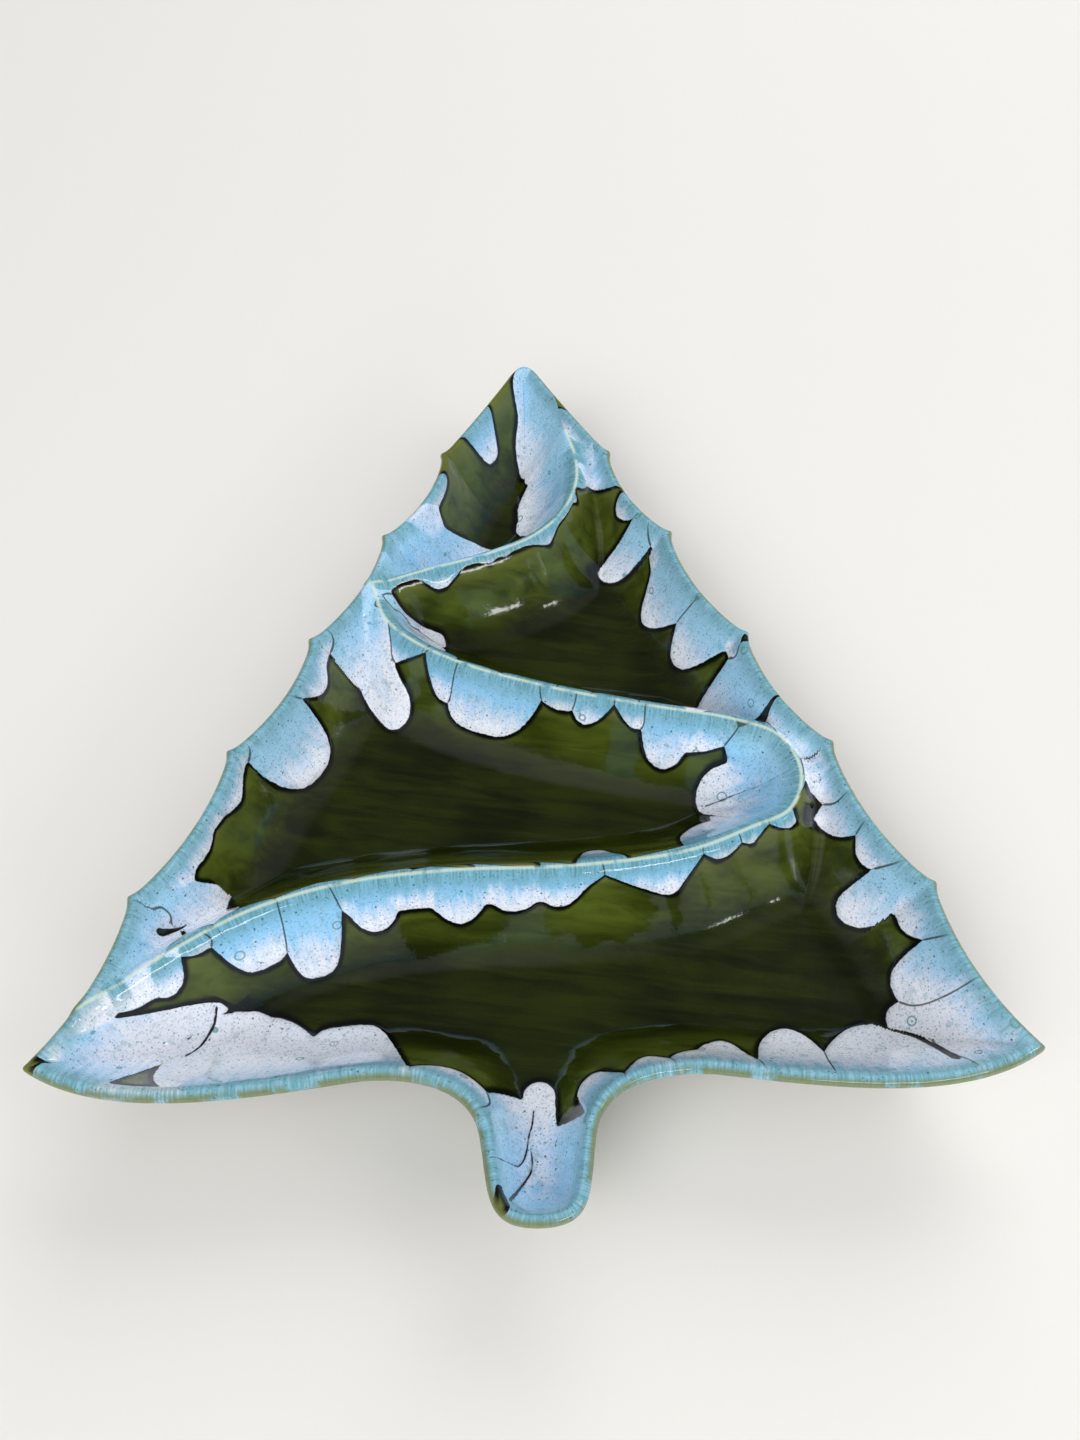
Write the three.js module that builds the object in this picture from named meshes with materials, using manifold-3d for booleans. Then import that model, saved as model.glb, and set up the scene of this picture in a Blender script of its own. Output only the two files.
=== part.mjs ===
// Divided serving tray in the form of a fir tree: one slip-cast earthenware piece, drawn as the floors,
// dividers, outer walls and feet that its form is made of.
// Millimetres, +Z up, tip of the tree towards +Y, trunk towards -Y, standing on z = 0, x = 0 the middle line.

import * as THREE from "three";
import { mergeVertices } from "three/addons/utils/BufferGeometryUtils.js";
import Module from "manifold-3d";

const wasm = await Module();
wasm.setup();

// Heights above the table and thickness of the clay
const RIM_HEIGHT = 42;
const CREST_HEIGHT = 40;
const FLOOR_HEIGHT = 9;
const TRUNK_FLOOR_HEIGHT = 21;
const CLAY = 5.5;

// Rim of the tree, right half: the tip, then the branch points down to the hanging corner
const TIP_Y = 190;
const TIP_ROUND = 7;
const BRANCHES = [
  { x: 37, y: 129 },
  { x: 60.5, y: 80 },
  { x: 86.5, y: 25 },
  { x: 112, y: -27 },
  { x: 138, y: -85 },
  { x: 162.6, y: -141 },
];
const TIP_SCALLOP = 1;
const BRANCH_SCALLOP = 5;
const BRANCH_ROUND = 0.07;

// Front edge, neck and trunk, right half
const SHOULDER = { x: 56, y: -146.8 };
const FRONT_PULL = [{ x: 135, y: -158 }, { x: 95, y: -152 }];
const NECK = { x: 18, y: -164 };
const NECK_PULL = [{ x: 38, y: -145.5 }, { x: 20.5, y: -150 }];
const TRUNK_END_Y = -190;
const TRUNK_PULL = [{ x: 15, y: -180 }, { x: 17, y: -190 }];

// Line where the outer wall runs out into the flat floor, right half
const FLOOR_TIP_Y = 152;
const FLOOR_CORNER = { x: 127, y: -126 };
const FLOOR_SHOULDER = { x: 44, y: -125 };
const FLOOR_NECK_Y = -132;
const FLOOR_TRUNK_Y = -174;
const WALL_BELLY = 1.6;

// Crest line of the garland divider, and its section
const LOWER_LINE = [[-148, -122.5], [-125, -105], [-98, -89], [-68, -79.5], [-30, -75], [15, -74], [55, -69]];
const BEND_CENTRE = { x: 76.5, y: -37.2 };
const BEND_HOLLOW = 3.2;
const BEND_ANGLES = [-86, -42, 0, 42, 88];
const MIDDLE_LINE = [[45, -7], [5, 3], [-28, 15], [-48, 27], [-58.5, 38], [-64, 54]];
const UPPER_LINE = [[-65, 54.5], [-45, 62], [-15, 72], [3, 81.5], [15.5, 95], [22, 112], [22.5, 128], [18.5, 146]];
const DIVIDER_HALF = 20;
const CREST_ROUND = 4;
const DIVIDER_BELLY = 1.7;
const PARTING_START = { x: -63, y: 55 };
const PARTING_END = { x: -37, y: 43 };

// Feet under the floors: the two ends of each bar
const FOOT_WIDTH = 8;
const FEET = {
  tip_foot: [-14, 103, -9, 119],
  upper_foot: [0, 42, 44, 31],
  middle_foot: [-70, -34, 28, -38],
  lower_right_foot: [32, -107, 90, -104],
  lower_left_foot: [-84, -115.5, -30, -111],
};

// Parting gap between neighbouring pieces, and how finely the curves are stepped
const GAP = 0.3;
const SLIVER = 0.02;
const SECTION_STEPS = [0, 0.35, 1, 2, 3.2];
const WALL_STEPS = [0.3, 0.5, 0.7, 0.85, 1];
const DIVIDER_STEPS = [-1, -0.75, -0.5, -0.3, -0.14, 0, 0.14, 0.3, 0.5, 0.75, 1];
const SCALLOP_STEPS = [0, 0.5, 1.6, 3.2, 5, 7, 8.6, 9.5];
const DIVIDER_STEP = 9;

// Derived sizes
const LIP = CLAY / 2;
const UNDERSIDE = FLOOR_HEIGHT - CLAY;
const TIP = { x: 0, y: TIP_Y + TIP_ROUND };
const CORNER = BRANCHES[BRANCHES.length - 1];
const SIDE_RUNS = BRANCHES.length;
const FRONT_RUN = SIDE_RUNS;
const NECK_RUN = SIDE_RUNS + 1;
const TRUNK_RUN = SIDE_RUNS + 2;
const RIM_END = SIDE_RUNS + 3;
const HIGH = RIM_HEIGHT + 30;

const mix = (a, b, f) => a + (b - a) * f;
const mixPoint = (a, b, f) => ({ x: mix(a.x, b.x, f), y: mix(a.y, b.y, f) });

// A curve from a start to an end, drawn towards the pull points between them.
function pulled(points, f) {
  if (points.length === 1) {
    return points[0];
  }
  const next = points.slice(1).map((point, i) => mixPoint(points[i], point, f));
  return pulled(next, f);
}

// Control points of one side run of the rim: a straight chord, hollowed by the scallop depth.
function sideRun(index) {
  const start = index === 0 ? TIP : BRANCHES[index - 1];
  const end = BRANCHES[index];
  const depth = index === 0 ? TIP_SCALLOP : BRANCH_SCALLOP;
  const length = Math.hypot(end.x - start.x, end.y - start.y);
  const middle = mixPoint(start, end, 0.5);
  const pull = {
    x: middle.x + (2 * depth * (end.y - start.y)) / length,
    y: middle.y - (2 * depth * (end.x - start.x)) / length,
  };
  return [start, pull, end];
}

const RUNS = [
  ...BRANCHES.map((branch, index) => sideRun(index)),
  [CORNER, ...FRONT_PULL, SHOULDER],
  [SHOULDER, ...NECK_PULL, NECK],
  [NECK, ...TRUNK_PULL, { x: 0, y: TRUNK_END_Y }],
];

// Rim point at a position that counts runs from the tip, with the branch points rounded over.
function rimPoint(position) {
  const nearest = Math.round(position);
  const off = position - nearest;
  const tipShare = (2 * TIP_ROUND) / (TIP.y - BRANCHES[0].y);
  const share = nearest === 0 ? tipShare : BRANCH_ROUND;
  if (nearest <= SIDE_RUNS && Math.abs(off) < share) {
    const after = pulled(RUNS[nearest], share);
    const before = nearest === 0 ? { x: -after.x, y: after.y } : pulled(RUNS[nearest - 1], 1 - share);
    const corner = RUNS[nearest][0];
    return pulled([before, corner, after], (off + share) / (2 * share));
  }
  const run = Math.min(Math.floor(position), RIM_END - 1);
  return pulled(RUNS[run], position - run);
}

// Point of the floor line that faces a rim position.
function floorPoint(position) {
  if (position <= FRONT_RUN) {
    const share = (TIP_Y - rimPoint(position).y) / (TIP_Y - rimPoint(FRONT_RUN).y);
    return mixPoint({ x: 0, y: FLOOR_TIP_Y }, FLOOR_CORNER, share);
  }
  if (position <= NECK_RUN) {
    return mixPoint(FLOOR_CORNER, FLOOR_SHOULDER, position - FRONT_RUN);
  }
  if (position <= TRUNK_RUN) {
    return mixPoint(FLOOR_SHOULDER, { x: 0, y: FLOOR_NECK_Y }, position - NECK_RUN);
  }
  return { x: 0, y: mix(FLOOR_NECK_Y, FLOOR_TRUNK_Y, position - TRUNK_RUN) };
}

// Height of the floor line: level, and rising along the trunk.
function floorHeight(position) {
  const rise = THREE.MathUtils.smoothstep(position, TRUNK_RUN, RIM_END);
  return mix(FLOOR_HEIGHT, TRUNK_FLOOR_HEIGHT, rise);
}

// Inner height of the wall at a distance from the rim, on a wall that reaches the floor after the given run.
function wallHeight(distance, run, floor) {
  if (distance < LIP) {
    return RIM_HEIGHT - LIP + Math.sqrt(LIP * LIP - (LIP - distance) ** 2);
  }
  const round = CREST_ROUND / 2;
  const soft = (length) => Math.hypot(length, round) - round;
  const share = Math.min(1, soft(distance - LIP) / soft(run - LIP));
  return floor + (RIM_HEIGHT - floor) * (1 - share) ** WALL_BELLY;
}

// Height of the divider at a distance from its crest line.
function dividerHeight(distance) {
  const soft = (length) => Math.hypot(length, CREST_ROUND) - CREST_ROUND;
  const share = Math.min(1, soft(distance) / soft(DIVIDER_HALF));
  return FLOOR_HEIGHT + (CREST_HEIGHT - FLOOR_HEIGHT) * (1 - share) ** DIVIDER_BELLY;
}

// Upright thickness that gives an even wall, from the slope of the upper face.
function thickness(height, distance) {
  const step = 0.2;
  const slope = (height(distance + step) - height(Math.max(0, distance - step))) / (2 * step);
  return CLAY * Math.hypot(1, slope);
}

// Distances from the rim at which the section of a wall with the given run has its points.
function sectionDistances(run) {
  const lip = SECTION_STEPS.map((step) => step * LIP);
  const reach = SECTION_STEPS[SECTION_STEPS.length - 1] * LIP;
  return [...lip, ...WALL_STEPS.map((step) => mix(reach, run, step))];
}

// Section of the wall at a rim position: points from the lip to the floor line, with upper and lower heights.
function wallSection(position, side) {
  const rim = rimPoint(position);
  const foot = floorPoint(position);
  const run = Math.hypot(foot.x - rim.x, foot.y - rim.y);
  const floor = floorHeight(position);
  const height = (distance) => wallHeight(distance, run, floor);
  return sectionDistances(run).map((distance) => {
    const plan = mixPoint(rim, foot, distance / run);
    const flat = Math.max(distance, LIP * 0.06);
    const top = height(flat);
    const round = 2 * Math.sqrt(LIP * LIP - (LIP - Math.min(flat, LIP)) ** 2);
    const deep = distance <= LIP ? round : thickness(height, distance);
    const even = distance >= run ? CLAY : deep;
    return { x: side * plan.x, y: plan.y, top, bottom: top - even };
  });
}

// Closed solid from rows of points that each carry an upper and a lower height. A folded sheet has a last
// row that lies on itself, so that it needs no end face there.
function sheetSolid(rows, folded = false) {
  const count = rows[0].length;
  const positions = [];
  rows.forEach((row) => row.forEach((point) => positions.push(point.x, point.y, point.top)));
  rows.forEach((row) => row.forEach((point) => positions.push(point.x, point.y, point.bottom)));
  const upper = (i, j) => i * count + j;
  const lower = (i, j) => (rows.length + i) * count + j;
  const faces = [];
  const quad = (a, b, c, d) => faces.push(a, b, c, a, c, d);
  for (let i = 0; i + 1 < rows.length; i += 1) {
    for (let j = 0; j + 1 < count; j += 1) {
      quad(upper(i, j), upper(i + 1, j), upper(i + 1, j + 1), upper(i, j + 1));
      quad(lower(i, j), lower(i, j + 1), lower(i + 1, j + 1), lower(i + 1, j));
    }
    quad(upper(i, 0), lower(i, 0), lower(i + 1, 0), upper(i + 1, 0));
    quad(upper(i, count - 1), upper(i + 1, count - 1), lower(i + 1, count - 1), lower(i, count - 1));
  }
  const last = rows.length - 1;
  for (let j = 0; j + 1 < count; j += 1) {
    quad(upper(0, j), upper(0, j + 1), lower(0, j + 1), lower(0, j));
    if (!folded) {
      quad(upper(last, j), lower(last, j), lower(last, j + 1), upper(last, j + 1));
    }
  }
  return facingOut(positions, faces);
}

// Geometry from corner points and faces, turned inside out if its volume comes out negative.
function facingOut(positions, faces) {
  const at = (i) => new THREE.Vector3(...positions.slice(3 * i, 3 * i + 3));
  let volume = 0;
  for (let i = 0; i < faces.length; i += 3) {
    volume += at(faces[i]).dot(at(faces[i + 1]).cross(at(faces[i + 2])));
  }
  const turned = volume < 0 ? faces.slice().reverse() : faces;
  const geometry = new THREE.BufferGeometry();
  geometry.setAttribute("position", new THREE.Float32BufferAttribute(positions, 3));
  geometry.setIndex(turned);
  return geometry;
}

function toSolid(geometry) {
  const bare = new THREE.BufferGeometry();
  bare.setAttribute("position", geometry.getAttribute("position").clone());
  bare.setIndex(geometry.getIndex());
  const merged = mergeVertices(bare, 1e-4);
  const vertProperties = new Float32Array(merged.getAttribute("position").array);
  const triVerts = new Uint32Array(merged.getIndex().array);
  return new wasm.Manifold(new wasm.Mesh({ numProp: 3, vertProperties, triVerts }));
}

// Geometry of a cut solid, without the slivers that a cut leaves along its edges.
function toGeometry(solid) {
  const mesh = solid.simplify(SLIVER).getMesh();
  const geometry = new THREE.BufferGeometry();
  geometry.setAttribute("position", new THREE.BufferAttribute(new Float32Array(mesh.vertProperties), 3));
  geometry.setIndex(new THREE.BufferAttribute(new Uint32Array(mesh.triVerts), 1));
  return geometry;
}

// Rim positions of the stations of a wall between two positions, closer together at the branch points.
function stations(from, to) {
  const inner = [];
  for (let run = Math.floor(from); run < to; run += 1) {
    SCALLOP_STEPS.forEach((step) => inner.push(run + step / 10));
  }
  return [from, ...inner.filter((position) => position > from + 0.02 && position < to - 0.02), to];
}

// Piece of the outer wall, shortened at both ends by half the parting gap.
function wallPiece(from, to, side) {
  const start = rimPoint(from + 0.01);
  const end = rimPoint(to - 0.01);
  const startStep = (0.01 * GAP) / 2 / Math.hypot(start.x - rimPoint(from).x, start.y - rimPoint(from).y);
  const endStep = (0.01 * GAP) / 2 / Math.hypot(end.x - rimPoint(to).x, end.y - rimPoint(to).y);
  const places = stations(from + startStep, to - endStep);
  return sheetSolid(places.map((position) => wallSection(position, side)));
}

// Trunk channel: both halves in one piece, joined along the middle line and round the end.
function trunkPiece() {
  const places = stations(TRUNK_RUN + GAP / 60, RIM_END);
  const rows = places.map((position) => {
    const right = wallSection(position, 1);
    const left = wallSection(position, -1).slice(0, -1).reverse();
    return [...right, ...left];
  });
  return sheetSolid(rows, true);
}

// Ring of plan points round the whole floor, right half then left half, each made from a rim position.
function ring(make) {
  const places = stations(0, TRUNK_RUN - GAP / 10);
  const right = places.map((position) => make(position, 1));
  const left = places.slice(1).reverse().map((position) => make(position, -1));
  return [...right, ...left];
}

// Plan point at a distance from the rim, towards the floor line.
function inward(position, side, distance) {
  const rim = rimPoint(position);
  const foot = floorPoint(position);
  const run = Math.hypot(foot.x - rim.x, foot.y - rim.y);
  const plan = mixPoint(rim, foot, distance(run) / run);
  return { x: side * plan.x, y: plan.y, run };
}

// Room inside the outer wall, one gap clear of it, that the dividers are trimmed to.
function innerRoom() {
  const crest = SECTION_STEPS.findIndex((step) => step === 1);
  const steps = sectionDistances(1).map((distance, i) => i).slice(crest).reverse();
  const levels = [
    ring((position, side) => ({ ...inward(position, side, (run) => run + GAP), z: -HIGH })),
    ...steps.map((step) => ring((position, side) => {
      const place = inward(position, side, (run) => sectionDistances(run)[step] + GAP);
      const height = wallHeight(sectionDistances(place.run)[step], place.run, FLOOR_HEIGHT);
      return { ...place, z: height + GAP / 2 };
    })),
    ring((position, side) => ({ ...inward(position, side, () => LIP + GAP), z: HIGH })),
  ];
  const count = levels[0].length;
  const positions = levels.flatMap((level) => level.flatMap((point) => [point.x, point.y, point.z]));
  const faces = [];
  for (let i = 0; i + 1 < levels.length; i += 1) {
    for (let j = 0; j < count; j += 1) {
      const k = (j + 1) % count;
      faces.push(i * count + j, i * count + k, (i + 1) * count + k);
      faces.push(i * count + j, (i + 1) * count + k, (i + 1) * count + j);
    }
  }
  const cap = (level, turned) => {
    const outline = levels[level].map((point) => new THREE.Vector2(point.x, point.y));
    THREE.ShapeUtils.triangulateShape(outline, []).forEach((face) => {
      const order = turned ? face.slice().reverse() : face;
      order.forEach((index) => faces.push(level * count + index));
    });
  };
  const clockwise = THREE.ShapeUtils.isClockWise(levels[0].map((point) => new THREE.Vector2(point.x, point.y)));
  cap(0, !clockwise);
  cap(levels.length - 1, clockwise);
  return toSolid(facingOut(positions, faces));
}

// Prism standing on a closed plan outline.
function prism(outline, bottom, height) {
  const shape = new THREE.Shape(outline.map((point) => new THREE.Vector2(point.x, point.y)));
  const geometry = new THREE.ExtrudeGeometry(shape, { depth: height, bevelEnabled: false });
  geometry.translate(0, 0, bottom);
  const bare = new THREE.BufferGeometry();
  bare.setAttribute("position", geometry.getAttribute("position"));
  return mergeVertices(bare, 1e-4);
}

// Crest curves, and the shares of their length where one piece ends and the next begins
const spline = (points) => {
  const spots = points.map(([x, y]) => new THREE.Vector3(x, y, 0));
  return new THREE.CatmullRomCurve3(spots, false, "centripetal");
};
const bendRadius = DIVIDER_HALF + BEND_HOLLOW;
const BEND_LINE = BEND_ANGLES.map((degrees) => {
  const turn = THREE.MathUtils.degToRad(degrees);
  return [BEND_CENTRE.x + bendRadius * Math.cos(turn), BEND_CENTRE.y + bendRadius * Math.sin(turn)];
});
const GARLAND_POINTS = [...LOWER_LINE, ...BEND_LINE, ...MIDDLE_LINE];
const GARLAND = spline(GARLAND_POINTS);
const UPPER = spline(UPPER_LINE);
const BEND_START = LOWER_LINE.length / (GARLAND_POINTS.length - 1);
const BEND_END = (LOWER_LINE.length + BEND_LINE.length - 1) / (GARLAND_POINTS.length - 1);

// Rows of plan points across a crest curve, at the given offsets from it.
function crestRows(curve, from, to, offsets) {
  const count = Math.ceil(((to - from) * curve.getLength()) / DIVIDER_STEP);
  const rows = [];
  for (let i = 0; i <= count; i += 1) {
    const share = mix(from, to, i / count);
    const spot = curve.getPoint(share);
    const along = curve.getTangent(share);
    rows.push(offsets.map((offset) => ({ x: spot.x - offset * along.y, y: spot.y + offset * along.x, offset })));
  }
  return rows;
}

// Hollow divider along part of a crest curve, before it is trimmed to the room inside the wall.
function dividerBand(curve, from, to) {
  const offsets = DIVIDER_STEPS.map((step) => step * DIVIDER_HALF);
  const rows = crestRows(curve, from, to, offsets);
  return toSolid(sheetSolid(rows.map((row) => row.map((point) => {
    const distance = Math.abs(point.offset);
    const top = dividerHeight(distance);
    const deep = distance < DIVIDER_HALF ? thickness(dividerHeight, distance) : CLAY;
    return { ...point, top, bottom: top - deep };
  }))));
}

// Upright block over the footprint of a divider and the gap beside it, to cut the floors with.
function dividerBlock(curve) {
  const reach = DIVIDER_HALF + GAP;
  const rows = crestRows(curve, 0, 1, [-reach, reach]);
  return toSolid(sheetSolid(rows.map((row) => row.map((point) => ({ ...point, top: HIGH, bottom: -HIGH })))));
}

const room = innerRoom();
const partingSide = (shift, far) => {
  const left = mixPoint(PARTING_END, PARTING_START, 3);
  const right = { x: 2 * CORNER.x, y: PARTING_END.y };
  const line = [left, PARTING_END, right].map((point) => ({ x: point.x, y: point.y + shift }));
  const ends = [{ x: right.x, y: far }, { x: left.x, y: far }];
  return toSolid(prism([...line, ...ends], -HIGH, 2 * HIGH));
};
const abovePart = partingSide(GAP, 2 * TIP_Y);
const belowPart = partingSide(-GAP, -2 * TIP_Y);
const halfGap = GAP / 2 / GARLAND.getLength();

const DIVIDERS = {
  upper_divider: dividerBand(UPPER, 0, 1).intersect(room).intersect(abovePart),
  middle_divider: dividerBand(GARLAND, BEND_END + halfGap, 1).intersect(room).intersect(belowPart),
  right_bend: dividerBand(GARLAND, BEND_START + halfGap, BEND_END - halfGap).intersect(room),
  lower_divider: dividerBand(GARLAND, 0, BEND_START - halfGap).intersect(room),
};

// Floors: one flat plate inside the floor line, parted by the dividers, listed from the tip to the trunk
const floorCorners = [0, FRONT_RUN, NECK_RUN, TRUNK_RUN];
const floorHalf = (side) => floorCorners.map((position) => inward(position, side, (run) => run + 2 * GAP));
const floorLine = [...floorHalf(1), ...floorHalf(-1).slice(1, -1).reverse()];
const plate = toSolid(prism(floorLine, UNDERSIDE, CLAY));
const parted = plate.subtract(dividerBlock(UPPER)).subtract(dividerBlock(GARLAND)).decompose();
const middleOf = (solid) => solid.boundingBox().min[1] + solid.boundingBox().max[1];
const FLOORS = parted.sort((a, b) => middleOf(b) - middleOf(a));
const FLOOR_NAMES = ["tip_floor", "upper_floor", "middle_floor", "lower_floor"];

const WALLS = {
  right_tip_wall: wallPiece(0, 1, 1),
  right_upper_wall: wallPiece(1, 4, 1),
  right_lower_wall: wallPiece(4, SIDE_RUNS, 1),
  left_tip_wall: wallPiece(0, 2, -1),
  left_middle_wall: wallPiece(2, 4, -1),
  left_lower_wall: wallPiece(4, SIDE_RUNS, -1),
  front_right_wall: wallPiece(FRONT_RUN, TRUNK_RUN, 1),
  front_left_wall: wallPiece(FRONT_RUN, TRUNK_RUN, -1),
  trunk_channel: trunkPiece(),
};

// Foot bar with round ends between two points, from the table up to the underside of the floor.
function footPiece([startX, startY, endX, endY]) {
  const heading = Math.atan2(endY - startY, endX - startX);
  const shape = new THREE.Shape();
  shape.absarc(startX, startY, FOOT_WIDTH / 2, heading + Math.PI / 2, heading + 1.5 * Math.PI, false);
  shape.absarc(endX, endY, FOOT_WIDTH / 2, heading - Math.PI / 2, heading + Math.PI / 2, false);
  return new THREE.ExtrudeGeometry(shape, { depth: UNDERSIDE, bevelEnabled: false, curveSegments: 8 });
}

const finish = (color, roughness) => new THREE.MeshStandardMaterial({ color, roughness, metalness: 0 });
const DRIP_GLAZE = finish(0xa9cfe0, 0.1);
const POOL_GLAZE = finish(0x27350f, 0.08);
const BARE_CLAY = finish(0xd8c3a0, 0.85);

const group = new THREE.Group();
group.name = "divided_serving_tray";

function addPiece(name, geometry, material) {
  const mesh = new THREE.Mesh(geometry, material);
  mesh.name = name;
  group.add(mesh);
}

FLOORS.forEach((solid, i) => addPiece(FLOOR_NAMES[i], toGeometry(solid), POOL_GLAZE));
Object.entries(DIVIDERS).forEach(([name, solid]) => addPiece(name, toGeometry(solid), DRIP_GLAZE));
Object.entries(WALLS).forEach(([name, geometry]) => addPiece(name, geometry, DRIP_GLAZE));
Object.entries(FEET).forEach(([name, ends]) => addPiece(name, footPiece(ends), BARE_CLAY));

export default group;
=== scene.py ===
"""Dresses a divided serving tray in the outline of a fir tree: green pooled glaze under a pale overglaze that runs."""
import logging
from dataclasses import dataclass, field
from enum import Enum

import bpy
import numpy as np
from mathutils import Matrix


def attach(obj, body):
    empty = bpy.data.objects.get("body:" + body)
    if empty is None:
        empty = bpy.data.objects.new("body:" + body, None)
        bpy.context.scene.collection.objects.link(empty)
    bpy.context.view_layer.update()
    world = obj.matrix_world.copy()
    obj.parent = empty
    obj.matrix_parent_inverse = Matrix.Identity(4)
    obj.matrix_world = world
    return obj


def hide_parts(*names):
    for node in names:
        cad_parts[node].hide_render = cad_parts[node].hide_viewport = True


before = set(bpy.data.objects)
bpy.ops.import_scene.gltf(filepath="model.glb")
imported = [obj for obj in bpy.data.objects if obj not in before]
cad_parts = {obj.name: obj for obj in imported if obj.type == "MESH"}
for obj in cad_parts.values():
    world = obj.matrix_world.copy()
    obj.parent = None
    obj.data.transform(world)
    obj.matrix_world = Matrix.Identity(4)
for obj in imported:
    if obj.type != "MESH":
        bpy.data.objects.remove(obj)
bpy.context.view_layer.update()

Array = np.ndarray
Point = tuple[float, float]
MM = 0.001
FAR = -20.0          # a point so far outside the overglaze that no drip counts
DEEP = 8.0           # depth inside a drip beyond which nothing changes
SIDE_REACH = 6.0     # how far beside a drip it is still measured
END_REACH = 7.0      # how far past a drip's end it is still measured
LINE_STEP = 0.5      # step along rims, crests and paths
WELD = 2000          # points nearer than one part of this to a millimetre are one
CHART = 100.0        # millimetres to one unit of the streak chart
NO_CREST = 40.0      # distance from a crest given to the lower side
log = logging.getLogger("tray")


class Lap(Enum):
    """Which of two neighbouring runs of overglaze a drip belongs to: a dark hairline is left between the two."""

    UNDER = 0
    OVER = 1


class Face(Enum):
    """A slope that overglaze runs down, named by the edge above it."""

    RIGHT_TIP = "inside of the right rim, behind the upper divider"
    RIGHT_RIM = "inside of the right rim"
    LEFT_RIM = "inside of the left rim"
    ZIGZAG_OUTER = "front of the lower divider, round the bend, back of the middle divider"
    ZIGZAG_INNER = "back of the lower divider, hollow of the bend, front of the middle divider"
    UPPER_FRONT = "front of the upper divider"
    UPPER_BACK = "back of the upper divider"
    OUTSIDE = "outside of the rim"


def blend(points: list[Point], share: Array) -> Array:
    """Gives points on a Bezier curve by repeated halving of its pulls.

    Args:
        points: the start, the pulls and the end of the curve.
        share: how far along, from 0 to 1.

    Returns:
        One plan point for each share.
    """
    layer = [np.asarray(p, float)[None, :] + 0 * share[:, None] for p in points]
    while len(layer) > 1:
        layer = [a + (b - a) * share[:, None] for a, b in zip(layer[:-1], layer[1:])]
    return layer[0]


def spline(points: list[Point], step: float = LINE_STEP) -> Array:
    """Draws a centripetal Catmull-Rom line: a cubic between each two points, paced by the root of their distance.

    Args:
        points: the plan points that the line passes.
        step: the distance between the points returned.

    Returns:
        The line as a row of plan points.
    """
    p = np.asarray(points, float)
    p = np.vstack([2 * p[0] - p[1], p, 2 * p[-1] - p[-2]])
    out = []
    for a, b, c, d in zip(p[:-3], p[1:-2], p[2:-1], p[3:]):
        t0, t1, t2 = (np.sqrt(np.hypot(*(y - x))) for x, y in ((a, b), (b, c), (c, d)))
        m1 = t1 * ((b - a) / t0 - (c - a) / (t0 + t1) + (c - b) / t1)
        m2 = t1 * ((c - b) / t1 - (d - b) / (t1 + t2) + (d - c) / t2)
        u = np.linspace(0, 1, max(2, int(np.hypot(*(c - b)) / step)), endpoint=False)[:, None]
        out.append(b + u * m1 + u**2 * (3 * (c - b) - 2 * m1 - m2) + u**3 * (2 * (b - c) + m1 + m2))
    return np.vstack(out + [p[-2][None]])


class EdgeLine:
    """A rim or crest line in plan, with even steps along it."""

    def __init__(self, points: Array, step: float = LINE_STEP) -> None:
        """Paces the line evenly.

        Args:
            points: the line's plan points, in millimetres.
            step: the distance between the kept points.
        """
        p = np.asarray(points, float)
        run = np.concatenate([[0], np.cumsum(np.hypot(*np.diff(p, axis=0).T))])
        self.along = np.linspace(0, run[-1], int(run[-1] / step) + 1)
        self.points = np.stack([np.interp(self.along, run, p[:, k]) for k in (0, 1)], 1)
        self.length = float(run[-1])

    def part(self, start: float, end: float) -> Array:
        """Cuts a stretch out of the line.

        Args:
            start: where the stretch starts, in millimetres along.
            end: where it ends; a smaller value walks the line backwards.

        Returns:
            The stretch as plan points.
        """
        stops = np.linspace(start, end, max(2, int(abs(end - start) / LINE_STEP)))
        return np.stack([np.interp(stops, self.along, self.points[:, k]) for k in (0, 1)], 1)

    def spot(self, at: float) -> Array:
        """Gives the plan point at a length along, as a row of one."""
        return self.part(at, at)[:1]

    def nearest(self, xy: Array, skip: int = 8) -> tuple[Array, Array, Array]:
        """Finds the nearest point of the line: a coarse look at every eighth point, then the segments around it.

        Args:
            xy: plan points, one to a row.
            skip: how many points the coarse look passes over.

        Returns:
            The distance, the length along the line, and the side (1 on the left hand, -1 on the right).
        """
        coarse = self.points[::skip]
        first = np.concatenate([
            ((rows[:, None, :] - coarse[None]) ** 2).sum(-1).argmin(1) * skip
            for rows in np.array_split(xy, max(1, len(xy) // 8192))
        ])
        window = np.clip(first[:, None] + np.arange(-skip - 1, skip + 1)[None], 0, len(self.points) - 2)
        start = self.points[window]
        step = self.points[window + 1] - start
        gap = xy[:, None, :] - start
        share = np.clip((step * gap).sum(-1) / (step**2).sum(-1), 0, 1)
        off = ((gap - step * share[..., None]) ** 2).sum(-1)
        rows = np.arange(len(xy))
        best = off.argmin(1)
        step, gap = step[rows, best], gap[rows, best]
        along = self.along[window[rows, best]] + share[rows, best] * self.along[1]
        side = np.sign(step[:, 0] * gap[:, 1] - step[:, 1] * gap[:, 0])
        return np.sqrt(off[rows, best]), along, side


@dataclass
class Place:
    """Where plan points lie on the tray: their height, and distance and length along for each edge."""

    height: Array
    rim: Array
    crest: Array
    along: dict[Face, Array]
    down: dict[Face, Array]
    on: dict[Face, Array]


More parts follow.
